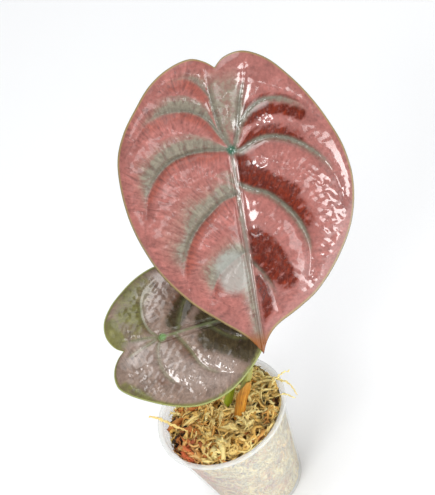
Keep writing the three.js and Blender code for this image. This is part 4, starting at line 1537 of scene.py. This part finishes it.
class ALOCASIA_OT_rootstock(bpy.types.Operator):
    """Finish the corm and the roots, which keep their CAD shape"""
    bl_idname = "alocasia.rootstock"
    bl_label = "Corm and roots"

    def execute(self, context):
        bark = Skin("corm_skin")
        _, _, z = bark.split(bark.place)
        rings = bark.noise(1, 3, bark.vector(0.0, 0.0, z * 900), 0.6)
        base = bark.ramp(rings, [(0.3, srgb(70, 44, 26)), (0.7, srgb(140, 100, 62))])
        bark.finish(Base_Color=base, Roughness=0.85, Normal=bark.bump(rings, 0.4))
        pale = Skin("root_skin")
        spots = pale.noise(500, 3)
        base = pale.ramp(spots, [(0.35, srgb(226, 214, 184)), (0.75, srgb(176, 148, 104))])
        pale.finish(Base_Color=base, Roughness=0.7, Normal=pale.bump(spots, 0.2))
        for name, node in frame["nodes"].items():
            if name == "corm" or name.startswith("root_"):
                node.data.materials.clear()
                node.data.materials.append(bark.material if name == "corm" else pale.material)
        return {"FINISHED"}


def soft_light(name, spot, size, power):
    """A rectangular soft light at a spot, facing the lit point."""
    lamp = bpy.data.lights.new(name, "AREA")
    lamp.shape = "RECTANGLE"
    lamp.size, lamp.size_y = size
    lamp.energy = power
    light = add_object(name, lamp)
    light.location = spot
    light.rotation_euler = (Vector(LIT_POINT) - Vector(spot)).to_track_quat("-Z", "Y").to_euler()


def sky_light():
    """An even light from a wide patch of sky."""
    lamp = bpy.data.lights.new("sky", "SUN")
    lamp.energy = SKY_POWER
    lamp.angle = SKY_SPREAD
    add_object("sky", lamp).rotation_euler = Vector(SKY_TOWARD).to_track_quat("Z", "Y").to_euler()


def tilted_camera():
    """A camera that looks down along the frame's second axis, rolled about its line of sight."""
    camera = add_object("camera", bpy.data.cameras.new("camera"))
    camera.data.lens = CAMERA_LENS
    camera.data.sensor_width = 36
    camera.data.clip_start = 0.01
    look = Vector((0, math.cos(CAMERA_DOWN), -math.sin(CAMERA_DOWN)))
    level = Vector((1, 0, 0))
    upright = Vector((0, math.sin(CAMERA_DOWN), math.cos(CAMERA_DOWN)))
    up = math.cos(CAMERA_ROLL) * upright + math.sin(CAMERA_ROLL) * level
    right = math.cos(CAMERA_ROLL) * level - math.sin(CAMERA_ROLL) * upright
    turn = Matrix((right, up, -look)).transposed().to_4x4()
    x, y, z = CAMERA_PLACE
    camera.matrix_world = Matrix.Translation((x, y, z + LIP * MM)) @ turn
    return camera


class ALOCASIA_OT_stage(bpy.types.Operator):
    """Build the floor, the lights and the camera"""
    bl_idname = "alocasia.stage"
    bl_label = "Stage"

    def execute(self, context):
        scene = context.scene
        scene.view_settings.view_transform = "Standard"
        scene.view_settings.look = "None"
        paper = Skin("paper_floor")
        tooth = paper.noise(700, 3)
        base = paper.mix(tooth, (0.9, 0.905, 0.91), (0.93, 0.935, 0.94))
        paper.finish(Base_Color=base, Roughness=0.85, Normal=paper.bump(tooth, 0.05))
        corners = [(-1, -1, 0), (1, -1, 0), (1, 1, 0), (-1, 1, 0)]
        floor = make_piece("floor", FLOOR_HALF * np.array(corners), [(0, 1, 2, 3)], [paper.material])
        world = bpy.data.worlds.new("studio")
        world.use_nodes = True
        world.node_tree.nodes["Background"].inputs["Color"].default_value = WORLD_TINT
        world.node_tree.nodes["Background"].inputs["Strength"].default_value = WORLD_POWER
        scene.world = world
        sky_light()
        for name, (spot, size, power) in SOFT_LIGHTS.items():
            soft_light(name, spot, size, power)
        scene.camera = tilted_camera()
        return {"FINISHED"}


class ALOCASIA_PT_panel(bpy.types.Panel):
    """Lists the plant's settings and its builders"""
    bl_idname = "ALOCASIA_PT_panel"
    bl_label = "Alocasia"
    bl_space_type = "VIEW_3D"
    bl_region_type = "UI"
    bl_category = "Alocasia"

    def draw(self, context):
        for name in SETTINGS:
            group = getattr(context.scene, name)
            box = self.layout.box()
            for key in group.bl_rna.properties.keys():
                if key not in ("rna_type", "name"):
                    box.prop(group, key)
        for operator in OPERATORS:
            self.layout.operator(operator.bl_idname)


SETTINGS = {
    "alocasia_large_leaf": LargeLeafSettings,
    "alocasia_small_leaf": SmallLeafSettings,
    "alocasia_pot": PotSettings,
}
OPERATORS = (
    ALOCASIA_OT_stage,
    ALOCASIA_OT_pot,
    ALOCASIA_OT_moss,
    ALOCASIA_OT_loose_strands,
    ALOCASIA_OT_large_leaf,
    ALOCASIA_OT_small_leaf,
    ALOCASIA_OT_stalks,
    ALOCASIA_OT_sheath,
    ALOCASIA_OT_rootstock,
)


def register():
    for kind in (*SETTINGS.values(), *OPERATORS, ALOCASIA_PT_panel):
        bpy.utils.register_class(kind)
    for name, kind in SETTINGS.items():
        setattr(bpy.types.Scene, name, PointerProperty(type=kind))


def unregister():
    for name in SETTINGS:
        delattr(bpy.types.Scene, name)
    for kind in reversed((*SETTINGS.values(), *OPERATORS, ALOCASIA_PT_panel)):
        bpy.utils.unregister_class(kind)


def main():
    register()
    for operator in OPERATORS:
        family, name = operator.bl_idname.split(".")
        getattr(getattr(bpy.ops, family), name)()


if __name__ == "__main__":
    main()
